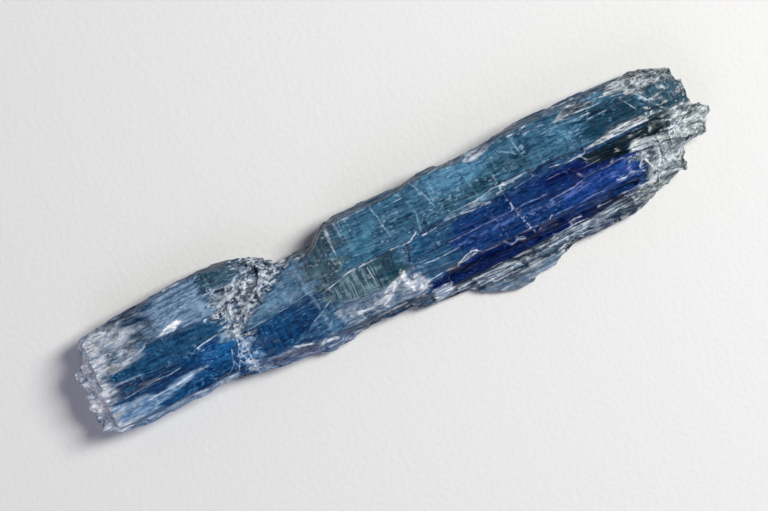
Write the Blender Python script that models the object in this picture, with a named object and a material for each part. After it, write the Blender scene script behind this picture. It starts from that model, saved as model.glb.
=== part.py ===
"""A blade cluster of kyanite: flat parallel blades grown together in one solid.

It lies on its broad cleavage face, with the blades along X, its width along Y and its thickness along Z.
The origin is the centre of the box's underside. Run it with: blender --background --python part.py
"""

import random
from collections import namedtuple

import bmesh
import bpy
from mathutils import Vector
from mathutils.bvhtree import BVHTree

MM = 0.001
NODE = "kyanite_crystal"

# Driving dimensions, in millimetres. The whole cluster is about 55 long, 12.5 wide and 5 thick.
CREST = 5.1  # height of the highest blade's top face over the table
LEFT_CREST = 4.7  # the same on the shorter, left-hand blades
WAIST_CREST = 4.0  # the same where the old break narrows the cluster
SEAT = 0.0  # everything under this height is cut away, which leaves the flat face it rests on
DEEP = -0.4  # how far the blades reach down before that cut

# A station is one cross-section of a blade: its place along X, the Y of its two long edges,
# the heights of its top face at the low-Y and the high-Y edge, and the height of its underside.
Station = namedtuple("Station", "x low high top_low top_high foot", defaults=(DEEP,))

# A blade is its stations, the bevels (across, down) of its two upper long edges, the bevels (across, up)
# of its lower ones, and how its ends at low and high X lean: (X per unit of Y, X per unit of depth).
Blade = namedtuple(
    "Blade",
    "stations low_bevel high_bevel keel heel toe",
    defaults=((0.3, 0.3), (0.3, 0.3), (0.8, 1.3), (0, 0), (0, 0)),
)

# The blades grown together, left to right. Each upper face is a cleavage plane with its own slight tilt.
BLADES = {
    "left_roof": Blade(
        [
            Station(-26.4, 1.6, 4.4, 3.0, 2.7, 0.9),
            Station(-25.8, 1.2, 5.0, LEFT_CREST - 0.35, 3.6, 0.4),
            Station(-21.9, 1.6, 5.4, LEFT_CREST - 0.1, 3.7),
            Station(-15.0, 2.0, 6.0, LEFT_CREST, 3.6),
            Station(-12.3, 2.2, 5.7, LEFT_CREST - 0.35, 3.3),
            Station(-10.4, 2.6, 5.2, LEFT_CREST - 1.1, 2.9),
        ],
        low_bevel=(0.3, 0.5),
        high_bevel=(0.4, 1.0),
        toe=(0.25, 0.3),
    ),
    "left_sheen": Blade(
        [
            Station(-19.9, 1.9, 5.0, LEFT_CREST + 0.1, 3.98),
            Station(-15.0, 2.1, 5.3, LEFT_CREST + 0.2, 3.98),
        ],
        low_bevel=(0.05, 0.1),
        high_bevel=(0.1, 0.4),
        heel=(0.04, -0.3),
        toe=(0.05, 0.3),
    ),
    "left_middle": Blade(
        [
            Station(-27.0, 0.3, 2.5, 2.7, 2.8, 1.3),
            Station(-26.6, -0.2, 3.0, 3.6, 3.7, 0.6),
            Station(-25.7, 0.1, 3.2, LEFT_CREST - 0.35, LEFT_CREST - 0.2, 0.1),
            Station(-19.5, 0.22, 2.9, LEFT_CREST - 0.2, LEFT_CREST + 0.08),
            Station(-16.2, 0.4, 2.7, LEFT_CREST - 0.15, LEFT_CREST + 0.08),
            Station(-14.4, 0.7, 2.5, LEFT_CREST - 0.35, LEFT_CREST - 0.2),
        ],
        low_bevel=(0.06, 0.3),
        toe=(0.2, 0.7),
    ),
    "left_lower": Blade(
        [
            Station(-27.0, -1.6, 0.5, 2.4, 2.5, 1.3),
            Station(-26.6, -2.8, 0.8, 3.1, 3.3, 0.7),
            Station(-25.9, -3.6, 0.9, 3.75, 4.15, 0.2),
            Station(-23.1, -3.74, 0.9, 3.75, LEFT_CREST - 0.37),
            Station(-19.5, -3.44, 1.0, 3.8, LEFT_CREST - 0.32),
            Station(-14.7, -3.2, 1.2, 3.75, LEFT_CREST - 0.37),
        ],
        low_bevel=(0.55, 1.3),
        toe=(0.12, 0.8),
    ),
    "left_strip": Blade(
        [
            Station(-22.9, -1.75, 0.6, 4.08, LEFT_CREST - 0.22),
            Station(-19.8, -1.55, 0.6, 4.15, LEFT_CREST - 0.2),
            Station(-16.6, -1.3, 0.6, 4.2, LEFT_CREST - 0.2),
        ],
        low_bevel=(0.05, 0.3),
        heel=(0.4, -0.3),
        toe=(-0.6, 0.4),
    ),
    "waist_upper": Blade(
        [
            Station(-13.1, 0.0, 2.6, WAIST_CREST - 0.15, 3.2),
            Station(-11.2, -0.1, 4.5, WAIST_CREST - 0.05, 2.6),
            Station(-8.3, 0.05, 4.2, WAIST_CREST + 0.05, 2.5),
            Station(-5.4, 0.4, 4.15, WAIST_CREST + 0.1, 2.8),
        ],
        low_bevel=(0.1, 0.2),
        high_bevel=(0.5, 1.1),
        heel=(0.35, -1.0),
    ),
    "waist_lower": Blade(
        [
            Station(-13.9, -3.5, 0.9, 3.2, WAIST_CREST - 0.25),
            Station(-12.0, -4.1, 0.8, 3.3, WAIST_CREST - 0.12),
            Station(-8.8, -4.25, 0.9, 3.3, WAIST_CREST - 0.12),
            Station(-4.5, -4.1, 1.2, 3.2, WAIST_CREST - 0.05),
        ],
        low_bevel=(0.8, 1.5),
        heel=(-0.1, -0.7),
    ),
    "waist_rib": Blade(
        [
            Station(-9.2, -4.3, -3.0, 1.5, 2.5, 0.6),
            Station(-8.0, -4.66, -3.0, 1.7, 2.7, 0.5),
            Station(-5.9, -4.56, -3.0, 1.6, 2.6, 0.5),
            Station(-5.3, -4.2, -3.0, 1.4, 2.4, 0.6),
        ],
        low_bevel=(0.2, 0.4),
        keel=(0.3, 0.3),
    ),
    "shoulder": Blade(
        [
            Station(-7.4, 0.1, 3.4, CREST - 0.8, 3.3),
            Station(-6.0, 0.2, 4.1, CREST - 0.55, 3.5),
            Station(-5.0, 0.35, 5.0, CREST - 0.4, 3.8),
            Station(-4.3, 0.5, 5.35, CREST - 0.3, 4.0),
            Station(-3.4, 0.8, 5.6, CREST - 0.22, CREST - 0.7),
            Station(-0.3, 0.95, 5.47, CREST - 0.16, CREST - 0.5),
            Station(2.8, 1.1, 5.55, CREST - 0.16, CREST - 0.45),
            Station(4.4, 1.3, 5.5, CREST - 0.25, CREST - 0.6),
        ],
        low_bevel=(0.08, 0.35),
        high_bevel=(0.5, 1.3),
        heel=(0.2, -0.55),
    ),
    "roof": Blade(
        [
            Station(2.1, 1.15, 5.6, CREST - 0.12, CREST - 0.35),
            Station(3.8, 1.3, 5.82, CREST, CREST - 0.25),
            Station(5.3, 1.5, 5.9, CREST, CREST - 0.25),
            Station(5.9, 1.6, 5.65, CREST, CREST - 0.25),
            Station(9.0, 2.1, 5.75, CREST - 0.02, CREST - 0.3),
            Station(12.5, 2.1, 6.2, CREST - 0.03, CREST - 0.3),
            Station(19.3, 2.2, 6.22, CREST - 0.05, CREST - 0.4),
            Station(22.8, 2.5, 6.15, CREST - 0.25, CREST - 0.7),
            Station(24.7, 2.3, 5.75, CREST - 1.0, CREST - 1.5, 0.3),
            Station(25.7, 2.4, 5.2, CREST - 1.7, CREST - 2.1, 0.9),
        ],
        low_bevel=(0.1, 0.4),
        high_bevel=(0.45, 1.2),
        heel=(0.1, 0.28),
        toe=(0.1, 0.1),
    ),
    "ledge": Blade(
        [
            Station(4.4, 1.0, 1.7, CREST - 0.16, CREST - 0.14),
            Station(5.6, 1.12, 2.0, CREST - 0.16, CREST - 0.14),
            Station(8.5, 1.18, 2.4, CREST - 0.2, CREST - 0.16),
            Station(9.9, 1.6, 2.5, CREST - 0.24, CREST - 0.2),
        ],
        low_bevel=(0.04, 0.15),
        heel=(0.5, -0.3),
        toe=(0.8, 0.3),
    ),
    "far_ledge": Blade(
        [
            Station(17.0, 1.55, 2.6, CREST - 0.5, CREST - 0.3),
            Station(19.8, 1.65, 2.8, CREST - 0.45, CREST - 0.3),
            Station(22.2, 1.75, 3.0, CREST - 0.6, CREST - 0.5),
            Station(23.4, 1.6, 3.0, CREST - 1.1, CREST - 1.0),
        ],
        low_bevel=(0.06, 0.4),
        heel=(0.9, -0.3),
        toe=(0.3, 0.3),
    ),
    "pale_slope": Blade(
        [
            Station(-6.6, -3.8, 0.4, 2.9, CREST - 1.0),
            Station(-4.2, -4.0, 0.9, 2.75, CREST - 0.7),
            Station(0.0, -4.1, 1.3, 2.75, CREST - 0.6),
            Station(3.0, -4.0, 1.3, 2.9, CREST - 0.5),
        ],
        low_bevel=(0.5, 1.3),
        heel=(0.3, -0.5),
    ),
    "royal_high": Blade(
        [
            Station(1.0, -0.6, 1.4, CREST - 0.75, CREST - 0.42),
            Station(4.4, -0.4, 1.5, CREST - 0.62, CREST - 0.42),
            Station(10.0, -0.2, 2.2, CREST - 0.62, CREST - 0.4),
            Station(15.0, -0.4, 2.3, CREST - 0.7, CREST - 0.55),
            Station(20.5, -0.1, 2.3, CREST - 0.9, CREST - 0.75),
            Station(22.0, -0.1, 2.3, CREST - 1.4, CREST - 1.2),
        ],
        low_bevel=(0.05, 0.25),
        heel=(0.3, -0.4),
        toe=(0.2, 0.3),
    ),
    "royal_low": Blade(
        [
            Station(0.6, -3.2, 0.6, 3.7, CREST - 0.85),
            Station(4.0, -3.4, 0.6, CREST - 1.15, CREST - 0.75),
            Station(12.0, -3.45, 0.8, CREST - 1.05, CREST - 0.72),
            Station(19.5, -3.2, 0.9, CREST - 1.25, CREST - 0.95),
            Station(21.6, -2.8, 0.9, CREST - 1.7, CREST - 1.3),
            Station(23.6, -2.3, 0.8, CREST - 2.4, CREST - 2.0, 0.1),
        ],
        low_bevel=(1.3, 2.6),
        heel=(0.1, -0.5),
        toe=(0.15, 0.3),
    ),
    "sliver": Blade(
        [
            Station(4.2, -2.2, -2.05, 4.0, 4.05),
            Station(4.8, -2.2, -1.85, 4.14, 4.18),
            Station(5.5, -2.2, -1.82, 4.14, 4.18),
            Station(6.4, -2.2, -2.08, 4.0, 4.05),
        ],
        low_bevel=(0.03, 0.03),
        high_bevel=(0.03, 0.03),
        keel=(0.02, 0.02),
    ),
    "skirt": Blade(
        [
            Station(0.0, -4.38, -2.6, 1.5, 2.4, 0.45),
            Station(3.0, -4.7, -2.6, 1.3, 2.1, 0.3),
            Station(9.0, -4.9, -2.6, 1.3, 2.0, 0.3),
            Station(14.1, -4.78, -2.6, 1.4, 2.1, 0.35),
            Station(19.7, -4.45, -2.4, 1.5, 2.2, 0.4),
            Station(20.4, -4.1, -2.2, 1.3, 2.0, 0.5),
        ],
        low_bevel=(0.25, 0.4),
        keel=(0.25, 0.2),
        heel=(0.1, -0.2),
        toe=(-0.2, 0.2),
    ),
    "plate": Blade(
        [
            Station(1.3, -4.1, -3.2, 1.75, 2.5, 0.6),
            Station(2.9, -4.15, -3.2, 1.75, 2.5, 0.6),
        ],
        low_bevel=(0.05, 0.1),
        keel=(0.1, 0.1),
        heel=(-0.3, 0.1),
        toe=(0.3, 0.1),
    ),
    "fin": Blade(
        [
            Station(4.4, -5.0, -3.4, 0.95, 1.5, 0.3),
            Station(6.3, -5.95, -3.4, 0.8, 1.5, 0.35),
            Station(8.1, -6.3, -3.4, 0.75, 1.5, 0.35),
            Station(9.2, -6.15, -3.4, 0.8, 1.5, 0.35),
            Station(9.4, -5.85, -3.4, 0.85, 1.5, 0.35),
            Station(11.1, -5.8, -3.4, 0.85, 1.5, 0.35),
            Station(11.5, -5.55, -3.4, 0.9, 1.5, 0.35),
            Station(12.9, -4.95, -3.4, 1.0, 1.5, 0.3),
        ],
        low_bevel=(0.15, 0.2),
        keel=(0.2, 0.15),
    ),
    "right_keel": Blade(
        [
            Station(18.6, -4.1, 1.5, 2.6, 3.6, 0.3),
            Station(20.8, -3.9, 1.5, 2.5, 3.5, 0.3),
            Station(22.7, -3.45, 1.3, 2.2, 3.2, 0.45),
            Station(23.8, -2.8, 1.0, 1.9, 2.7, 0.6),
            Station(24.5, -1.8, 0.5, 1.7, 2.2, 0.8),
        ],
        low_bevel=(0.5, 0.8),
        keel=(0.5, 0.5),
        toe=(0.1, 0.1),
    ),
    "right_core": Blade(
        [
            Station(20.0, -1.0, 4.6, 3.5, 4.2, 0.2),
            Station(24.4, -0.9, 4.7, 3.1, 3.8, 0.5),
            Station(26.2, 0.5, 4.0, 2.6, 3.0, 0.9),
        ],
        low_bevel=(0.4, 0.5),
        high_bevel=(0.4, 0.6),
        keel=(0.4, 0.4),
        toe=(0.1, 0.1),
    ),
    "tongue": Blade(
        [
            Station(20.2, 0.1, 0.75, CREST - 0.72, CREST - 0.68),
            Station(22.2, 0.0, 0.85, CREST - 0.95, CREST - 0.85, 0.3),
            Station(24.0, -0.6, 1.4, CREST - 1.7, CREST - 1.6, 0.6),
            Station(25.5, -0.95, 1.9, 2.8, 3.1, 0.9),
            Station(26.8, -0.2, 1.7, 2.3, 2.6, 1.2),
            Station(27.6, 0.4, 1.2, 2.0, 2.1, 1.5),
        ],
        low_bevel=(0.15, 0.3),
        high_bevel=(0.15, 0.25),
        keel=(0.3, 0.3),
        heel=(0.3, -0.3),
    ),
}

# Broken ends: bundles of thin splinters whose tips stand at uneven lengths. Each bundle is the X of its tips,
# the way they point, their span in Y, their span in Z, how many there are, and how uneven.
SPLINTER_ENDS = {
    "left_end": (-27.2, -1, (-2.9, 2.7), (1.1, 3.6), 34, 0.35),
    "left_roof_end": (-25.9, -1, (2.4, 4.9), (1.0, 3.4), 14, 0.25),
    "roof_end": (25.5, 1, (2.2, 5.4), (1.0, 3.7), 26, 0.6),
    "roof_lip": (23.6, 1, (2.6, 5.6), (3.2, 4.4), 12, 0.9),
    "royal_end": (22.6, 1, (-2.6, 1.0), (2.2, 3.9), 16, 1.0),
    "keel_end": (23.6, 1, (-2.9, -0.4), (0.8, 2.4), 16, 0.7),
    "tongue_end": (26.5, 1, (-0.1, 1.6), (1.2, 2.3), 8, 0.7),
}
SPLINTER_LENGTH = 3.0
SPLINTER_SIDE = (0.35, 0.85)
SPLINTER_RISE = 0.2

# Laths are the edges of thinner blades that stand a little proud of a face; grooves are the slots between.
# The counts are how many are tried: one is laid only where the face is even enough under it.
TOP_LATHS = 70
SIDE_LATHS = 110
TOP_GROOVES = 22
LATH_SPAN_X = (-26.0, 25.0)
LATH_SPAN_Y = (-3.8, 5.4)
LATH_SPAN_Z = (0.8, 4.0)
LATH_LENGTH = (2.0, 11.0)
LATH_WIDTH = (0.25, 0.9)
LATH_PROUD = (0.05, 0.14)
LATH_SUNK = 0.5
EVEN = 0.09  # the most that the face may bow under a lath or a groove
EVEN_CHECKS = 8
GROOVE_DEPTH = (0.12, 0.25)
GROOVE_WIDTH = (0.1, 0.25)
OUTSIDE = 20.0  # a height or a distance that clears the cluster all round

# A flake's outline, along the edge and across it, in halves of its length and of its width.
FLAKE = [(-1.0, -0.2), (-0.5, -0.9), (0.6, -0.7), (1.1, 0.3), (0.2, 1.0), (-0.7, 0.7)]
FLAKE_WIDTH = 0.9

# Flakes broken off the long edges: X, Y and Z of the middle of the edge there, and the flake's length and depth.
CHIPS = [
    (8.7, 5.7, 4.3, 1.5, 0.8),
    (-12.9, 5.8, 3.2, 1.6, 0.35),
    (-10.4, 5.1, 2.9, 1.3, 0.6),
    (5.8, 5.9, 3.9, 0.8, 0.4),
    (-22.6, 5.3, 3.2, 1.5, 0.3),
    (-18.4, -3.4, 2.9, 2.2, 0.3),
    (-3.0, -4.1, 2.1, 2.0, 0.4),
    (17.5, 6.2, 4.3, 2.4, 0.35),
    (21.4, 6.1, 4.1, 1.5, 0.45),
    (13.6, -4.8, 1.2, 1.0, 0.3),
    (16.8, -4.6, 1.3, 1.3, 0.25),
    (-20.6, -3.5, 0.9, 2.4, 0.3),
    (12.4, -3.6, 2.6, 2.4, 0.25),
    (-23.9, 5.2, 0.9, 2.2, 0.3),
    (-2.1, 5.5, 1.0, 2.8, 0.3),
    (14.6, 6.2, 0.9, 3.2, 0.3),
]

# The old break across the left third: a V whose lowest line runs from one long side to the other.
BREAK_LINE = [(-14.3, -4.8), (-14.2, -2.0), (-13.9, 0.2), (-13.0, 1.9), (-11.7, 3.2), (-10.4, 4.5), (-9.2, 6.4)]
BREAK_BOTTOM = 3.3
BREAK_HALF_WIDTH = 2.0
BREAK_DIP = 0.3  # how fast its floor falls towards high Y, from BREAK_DIP_FROM on
BREAK_DIP_FROM = 2.0
RUBBLE = 26  # crushed grains grown back into the break
RUBBLE_SIDE = (0.4, 1.0)

SEED = 11
COLOUR = (0.055, 0.16, 0.27, 1.0)
ROUGHNESS = 0.22


def section(blade, station):
    """The eight corners of a blade's cross-section, in millimetres, counter-clockwise seen from +X."""
    x, low, high, top_low, top_high, foot = station
    across, up = min(blade.keel[0], (high - low) / 3), blade.keel[1]
    low_in, low_down = blade.low_bevel
    high_in, high_down = blade.high_bevel
    low_side, high_side = foot + up, foot + up
    low_shoulder = max(top_low - low_down, low_side + 0.05)
    high_shoulder = max(top_high - high_down, high_side + 0.05)
    return [
        Vector((x, low + across, foot)),
        Vector((x, high - across, foot)),
        Vector((x, high, high_side)),
        Vector((x, high, high_shoulder)),
        Vector((x, high - high_in, top_high)),
        Vector((x, low + low_in, top_low)),
        Vector((x, low, low_shoulder)),
        Vector((x, low, low_side)),
    ]


def tilted(points, tilt, station):
    """An end's corners moved along X, so that the end leans instead of standing square."""
    middle = (station.low + station.high) / 2
    top = max(station.top_low, station.top_high)
    return [p + Vector((tilt[0] * (p.y - middle) + tilt[1] * (top - p.z), 0, 0)) for p in points]


def mesh_of(rings):
    """A closed mesh through rings of corners in millimetres, with a cap on each end."""
    bm = bmesh.new()
    loops = [[bm.verts.new(p * MM) for p in ring] for ring in rings]
    count = len(loops[0])
    for here, there in zip(loops, loops[1:]):
        for i in range(count):
            bm.faces.new((here[i], here[(i + 1) % count], there[(i + 1) % count], there[i]))
    bm.faces.new(loops[0])
    bm.faces.new(loops[-1])
    bmesh.ops.triangulate(bm, faces=bm.faces)
    bmesh.ops.recalc_face_normals(bm, faces=bm.faces)
    mesh = bpy.data.meshes.new("solid")
    bm.to_mesh(mesh)
    bm.free()
    return mesh


def blade_mesh(blade):
    rings = [section(blade, station) for station in blade.stations]
    rings[0] = tilted(rings[0], blade.heel, blade.stations[0])
    rings[-1] = tilted(rings[-1], blade.toe, blade.stations[-1])
    return mesh_of(rings)


def bar(start, end, across, up, taper=1.0):
    """A four-sided bar from start to end; across and up are its half-width and half-height as vectors."""
    rings = []
    for point, scale in ((start, 1.0), (end, taper)):
        corners = [-across - up, across - up, across + up, up - across]
        rings.append([point + corner * scale for corner in corners])
    return mesh_of(rings)


def splinters(rng, bundle):
    """The thin bars of one broken end, each with a slanting tip."""
    tip, way, (y_low, y_high), (z_low, z_high), count, uneven = bundle
    made = []
    for _ in range(count):
        half = rng.uniform(*SPLINTER_SIDE) / 2
        y = rng.uniform(y_low + half, y_high - half)
        z = rng.uniform(z_low + half, z_high - half)
        x = tip + way * rng.uniform(-uneven, uneven)
        across = Vector((way * rng.uniform(-0.4, 0.4) * half, half, rng.uniform(-0.2, 0.2) * half))
        up = Vector((way * rng.uniform(-0.9, 0.3) * half, 0, half * rng.uniform(0.6, 1.3)))
        start = Vector((x - way * SPLINTER_LENGTH, y, z - SPLINTER_RISE))
        made.append(bar(start, Vector((x, y, z)), across, up, rng.uniform(0.6, 1.0)))
    return made


def break_floor(y):
    """The height of the break's lowest line. Towards high Y, where the faces fall away, it runs deeper."""
    return BREAK_BOTTOM - BREAK_DIP * max(0.0, y - BREAK_DIP_FROM)


def rubble(rng):
    """The crushed grains along the break, each a small slanting bar sunk in its floor."""
    made = []
    for _ in range(RUBBLE):
        at = rng.uniform(0.9, len(BREAK_LINE) - 2.2)
        (x0, y0), (x1, y1) = BREAK_LINE[int(at)], BREAK_LINE[int(at) + 1]
        share = at - int(at)
        side = rng.uniform(*RUBBLE_SIDE) / 2
        x = x0 + (x1 - x0) * share + rng.uniform(-0.9, 1.3)
        y = y0 + (y1 - y0) * share + rng.uniform(-0.3, 0.3)
        z = break_floor(y) + rng.uniform(-0.3, 0.2)
        along = Vector((rng.uniform(0.5, 1.0), rng.uniform(-0.6, 0.8), rng.uniform(-0.2, 0.2))).normalized()
        across = along.cross(Vector((rng.uniform(-0.3, 0.3), rng.uniform(-0.3, 0.3), 1))).normalized()
        middle, reach = Vector((x, y, z - side)), along * side * rng.uniform(1.2, 2.4)
        made.append(bar(middle - reach, middle + reach, across * side, along.cross(across) * side, 0.7))
    return made


def boolean(target, meshes, operation):
    """Joins meshes to target, or cuts them from it, and applies the result."""
    helpers = bpy.data.collections.new("helpers")
    bpy.context.scene.collection.children.link(helpers)
    for mesh in meshes:
        helpers.objects.link(bpy.data.objects.new("helper", mesh))
    modifier = target.modifiers.new("boolean", "BOOLEAN")
    modifier.operation = operation
    modifier.solver = "EXACT"
    modifier.operand_type = "COLLECTION"
    modifier.collection = helpers
    bpy.context.view_layer.objects.active = target
    bpy.ops.object.modifier_apply(modifier=modifier.name)
    for helper in list(helpers.objects):
        bpy.data.objects.remove(helper)
    bpy.data.collections.remove(helpers)


def surface_of(target):
    """The target's surface in millimetres, for finding where its faces are."""
    return BVHTree.FromPolygons(
        [v.co / MM for v in target.data.vertices],
        [tuple(p.vertices) for p in target.data.polygons],
    )


def resting_line(tree, x, length, start_at, direction):
    """The two ends of a line laid on a face along X, or None where the face doesn't stay straight under it."""
    points = []
    for i in range(EVEN_CHECKS + 1):
        origin = Vector((x + length * i / EVEN_CHECKS, *start_at))
        points.append(tree.ray_cast(origin, direction)[0])
    if None in points:
        return None
    for i, point in enumerate(points):
        straight = points[0].lerp(points[-1], i / EVEN_CHECKS)
        if abs((point - straight).dot(direction)) > EVEN:
            return None
    return points[0], points[-1]


def lath(rng, tree, side):
    """A thin bar lying along a face and standing a little proud of it, or None where there is no even face.

    side is 0 for the top face, and -1 or 1 for the long side that faces -Y or +Y.
    """
    length = rng.uniform(*LATH_LENGTH)
    x = rng.uniform(LATH_SPAN_X[0], LATH_SPAN_X[1] - length)
    half = rng.uniform(*LATH_WIDTH) / 2
    proud = rng.uniform(*LATH_PROUD)
    if side:
        out, across = Vector((0, side, 0)), Vector((0, 0, half))
        ends = resting_line(tree, x, length, (OUTSIDE * side, rng.uniform(*LATH_SPAN_Z)), -out)
    else:
        out, across = Vector((0, 0, 1)), Vector((0, half, 0))
        ends = resting_line(tree, x, length, (rng.uniform(*LATH_SPAN_Y), OUTSIDE), -out)
    if ends is None:
        return None
    start, end = (p + out * (proud - LATH_SUNK) for p in ends)
    lean = Vector((rng.uniform(-0.8, 0.8), 0, 0))
    return bar(start, end, across + lean * half, out * LATH_SUNK, rng.uniform(0.75, 1.0))


def groove(rng, tree):
    """A narrow V cut along the top face, or None where there is no even face."""
    length = rng.uniform(*LATH_LENGTH)
    x = rng.uniform(LATH_SPAN_X[0], LATH_SPAN_X[1] - length)
    ends = resting_line(tree, x, length, (rng.uniform(*LATH_SPAN_Y), OUTSIDE), Vector((0, 0, -1)))
    if ends is None:
        return None
    half, depth = rng.uniform(*GROOVE_WIDTH) / 2, rng.uniform(*GROOVE_DEPTH)
    over = Vector((0, 0, 0.6))
    rings = [[end + Vector((0, -3 * half, 0)) + over, end - Vector((0, 0, depth)), end + over] for end in ends]
    return mesh_of(rings)


def chip(rng, x, y, z, length, depth):
    """A shallow shell-shaped cutter that takes one flake off a long edge."""
    outward = Vector((rng.uniform(-0.3, 0.3), 1 if y > 0 else -1, rng.uniform(0.5, 1.1))).normalized()
    across = outward.cross(Vector((1, 0, 0))).normalized()
    along = across.cross(outward)
    way = rng.choice((-1, 1))
    uneven = [rng.uniform(0.75, 1.2) for _ in FLAKE]
    rings = []
    for out, size, shift in ((1.2, 1.5, 0.0), (-depth, 0.45, 0.35)):
        middle = Vector((x, y, z)) + outward * out + along * way * shift * length / 2
        corners = [along * way * a * length / 2 + across * b * FLAKE_WIDTH / 2 for a, b in FLAKE]
        rings.append([middle + corner * size * scale for corner, scale in zip(corners, uneven)])
    return mesh_of(rings)


def break_cutter():
    """The V-shaped cutter of the old break, open above the crest."""
    rings = []
    for x, y in BREAK_LINE:
        far, near = Vector((x + BREAK_HALF_WIDTH, y - 0.3, CREST + 1.0)), Vector((x, y, break_floor(y)))
        rings.append([near, far, Vector((x - BREAK_HALF_WIDTH, y + 0.3, CREST + 1.0))])
    return mesh_of(rings)


def table_cutter():
    """The block under the seat plane, which cuts the underside flat."""
    half_x, half_y = 2 * OUTSIDE, OUTSIDE
    corners = [(-half_x, -half_y), (half_x, -half_y), (half_x, half_y), (-half_x, half_y)]
    return mesh_of([[Vector((x, y, z)) for x, y in corners] for z in (DEEP - 2.0, SEAT)])


def settle(target):
    """Moves the mesh so that the origin is the centre of its box's underside."""
    points = [v.co for v in target.data.vertices]
    low = Vector([min(p[k] for p in points) for k in range(3)])
    high = Vector([max(p[k] for p in points) for k in range(3)])
    shift = Vector(((low.x + high.x) / 2, (low.y + high.y) / 2, low.z))
    for vertex in target.data.vertices:
        vertex.co -= shift


def kyanite_material():
    material = bpy.data.materials.new("kyanite")
    material.use_nodes = True
    shader = material.node_tree.nodes["Principled BSDF"]
    shader.inputs["Base Color"].default_value = COLOUR
    shader.inputs["Roughness"].default_value = ROUGHNESS
    shader.inputs["Metallic"].default_value = 0.0
    return material


def build():
    for old in list(bpy.data.objects):
        bpy.data.objects.remove(old)
    rng = random.Random(SEED)
    first, *others = [blade_mesh(blade) for blade in BLADES.values()]
    crystal = bpy.data.objects.new(NODE, first)
    bpy.context.scene.collection.objects.link(crystal)
    ends = [mesh for bundle in SPLINTER_ENDS.values() for mesh in splinters(rng, bundle)]
    boolean(crystal, others + ends, "UNION")
    boolean(crystal, [break_cutter()], "DIFFERENCE")
    boolean(crystal, rubble(rng), "UNION")
    tree = surface_of(crystal)
    laths = [lath(rng, tree, 0) for _ in range(TOP_LATHS)]
    laths += [lath(rng, tree, side) for side in (-1, 1) for _ in range(SIDE_LATHS // 2)]
    boolean(crystal, [mesh for mesh in laths if mesh], "UNION")
    tree = surface_of(crystal)
    cuts = [groove(rng, tree) for _ in range(TOP_GROOVES)]
    cuts += [chip(rng, *one) for one in CHIPS]
    boolean(crystal, [mesh for mesh in cuts if mesh] + [table_cutter()], "DIFFERENCE")
    settle(crystal)
    crystal.data.materials.clear()
    crystal.data.materials.append(kyanite_material())


build()
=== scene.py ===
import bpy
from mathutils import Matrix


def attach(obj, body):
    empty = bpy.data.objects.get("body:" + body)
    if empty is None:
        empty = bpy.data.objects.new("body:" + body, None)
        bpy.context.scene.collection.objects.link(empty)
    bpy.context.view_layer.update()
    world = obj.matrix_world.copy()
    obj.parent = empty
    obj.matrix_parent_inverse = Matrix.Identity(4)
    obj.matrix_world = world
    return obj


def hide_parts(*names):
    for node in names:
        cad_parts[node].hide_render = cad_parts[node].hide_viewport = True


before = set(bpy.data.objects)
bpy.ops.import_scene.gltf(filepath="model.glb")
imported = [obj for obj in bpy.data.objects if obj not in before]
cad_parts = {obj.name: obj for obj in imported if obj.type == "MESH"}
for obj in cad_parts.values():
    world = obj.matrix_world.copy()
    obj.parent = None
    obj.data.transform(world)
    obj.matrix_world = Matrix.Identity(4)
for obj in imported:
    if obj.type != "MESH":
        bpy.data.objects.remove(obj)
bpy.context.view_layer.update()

"""Looks for the kyanite blade cluster: a fine crystal in place of the CAD solid, on pale paper in soft light.

The crystal is a voxel copy of the solid with splinters added. Small ledges on it are worn to slopes. Its
clean faces are cut into long thin laths, its sides stepped, its split parts flaked and its broken parts
shattered, vertex by vertex. What varies over it (colours, clearness, frosting, veins) is worked out from
outlines in plan, in millimetres, and kept on the vertices for the material to read.
"""

import itertools
import math
import random
from functools import partial
from typing import NamedTuple

import bmesh
import bpy
import numpy as np
from mathutils import Vector

MM = 0.001
NODE = "kyanite_crystal"

# The view: straight down, with the blades rising to the right across the frame.
VIEW_WIDTH = 61.4  # millimetres across the frame, at the table
VIEW_CENTRE = (-0.97, 0.81)
VIEW_TURN = math.radians(-24.5)
CAMERA_HEIGHT = 340.0

# The fine mesh. The copy is squeezed along X while it is remeshed, so its cells are long in that direction.
VOXEL = 0.108  # a cell's width, in millimetres
LENGTHWISE = 2.0  # its length, as a multiple of its width
SEAT_BAND = 0.25  # everything this near the table stays flat
SHARP_ANGLE = math.radians(38)
FAR = 9.0  # where a search for the nearest thing starts

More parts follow.
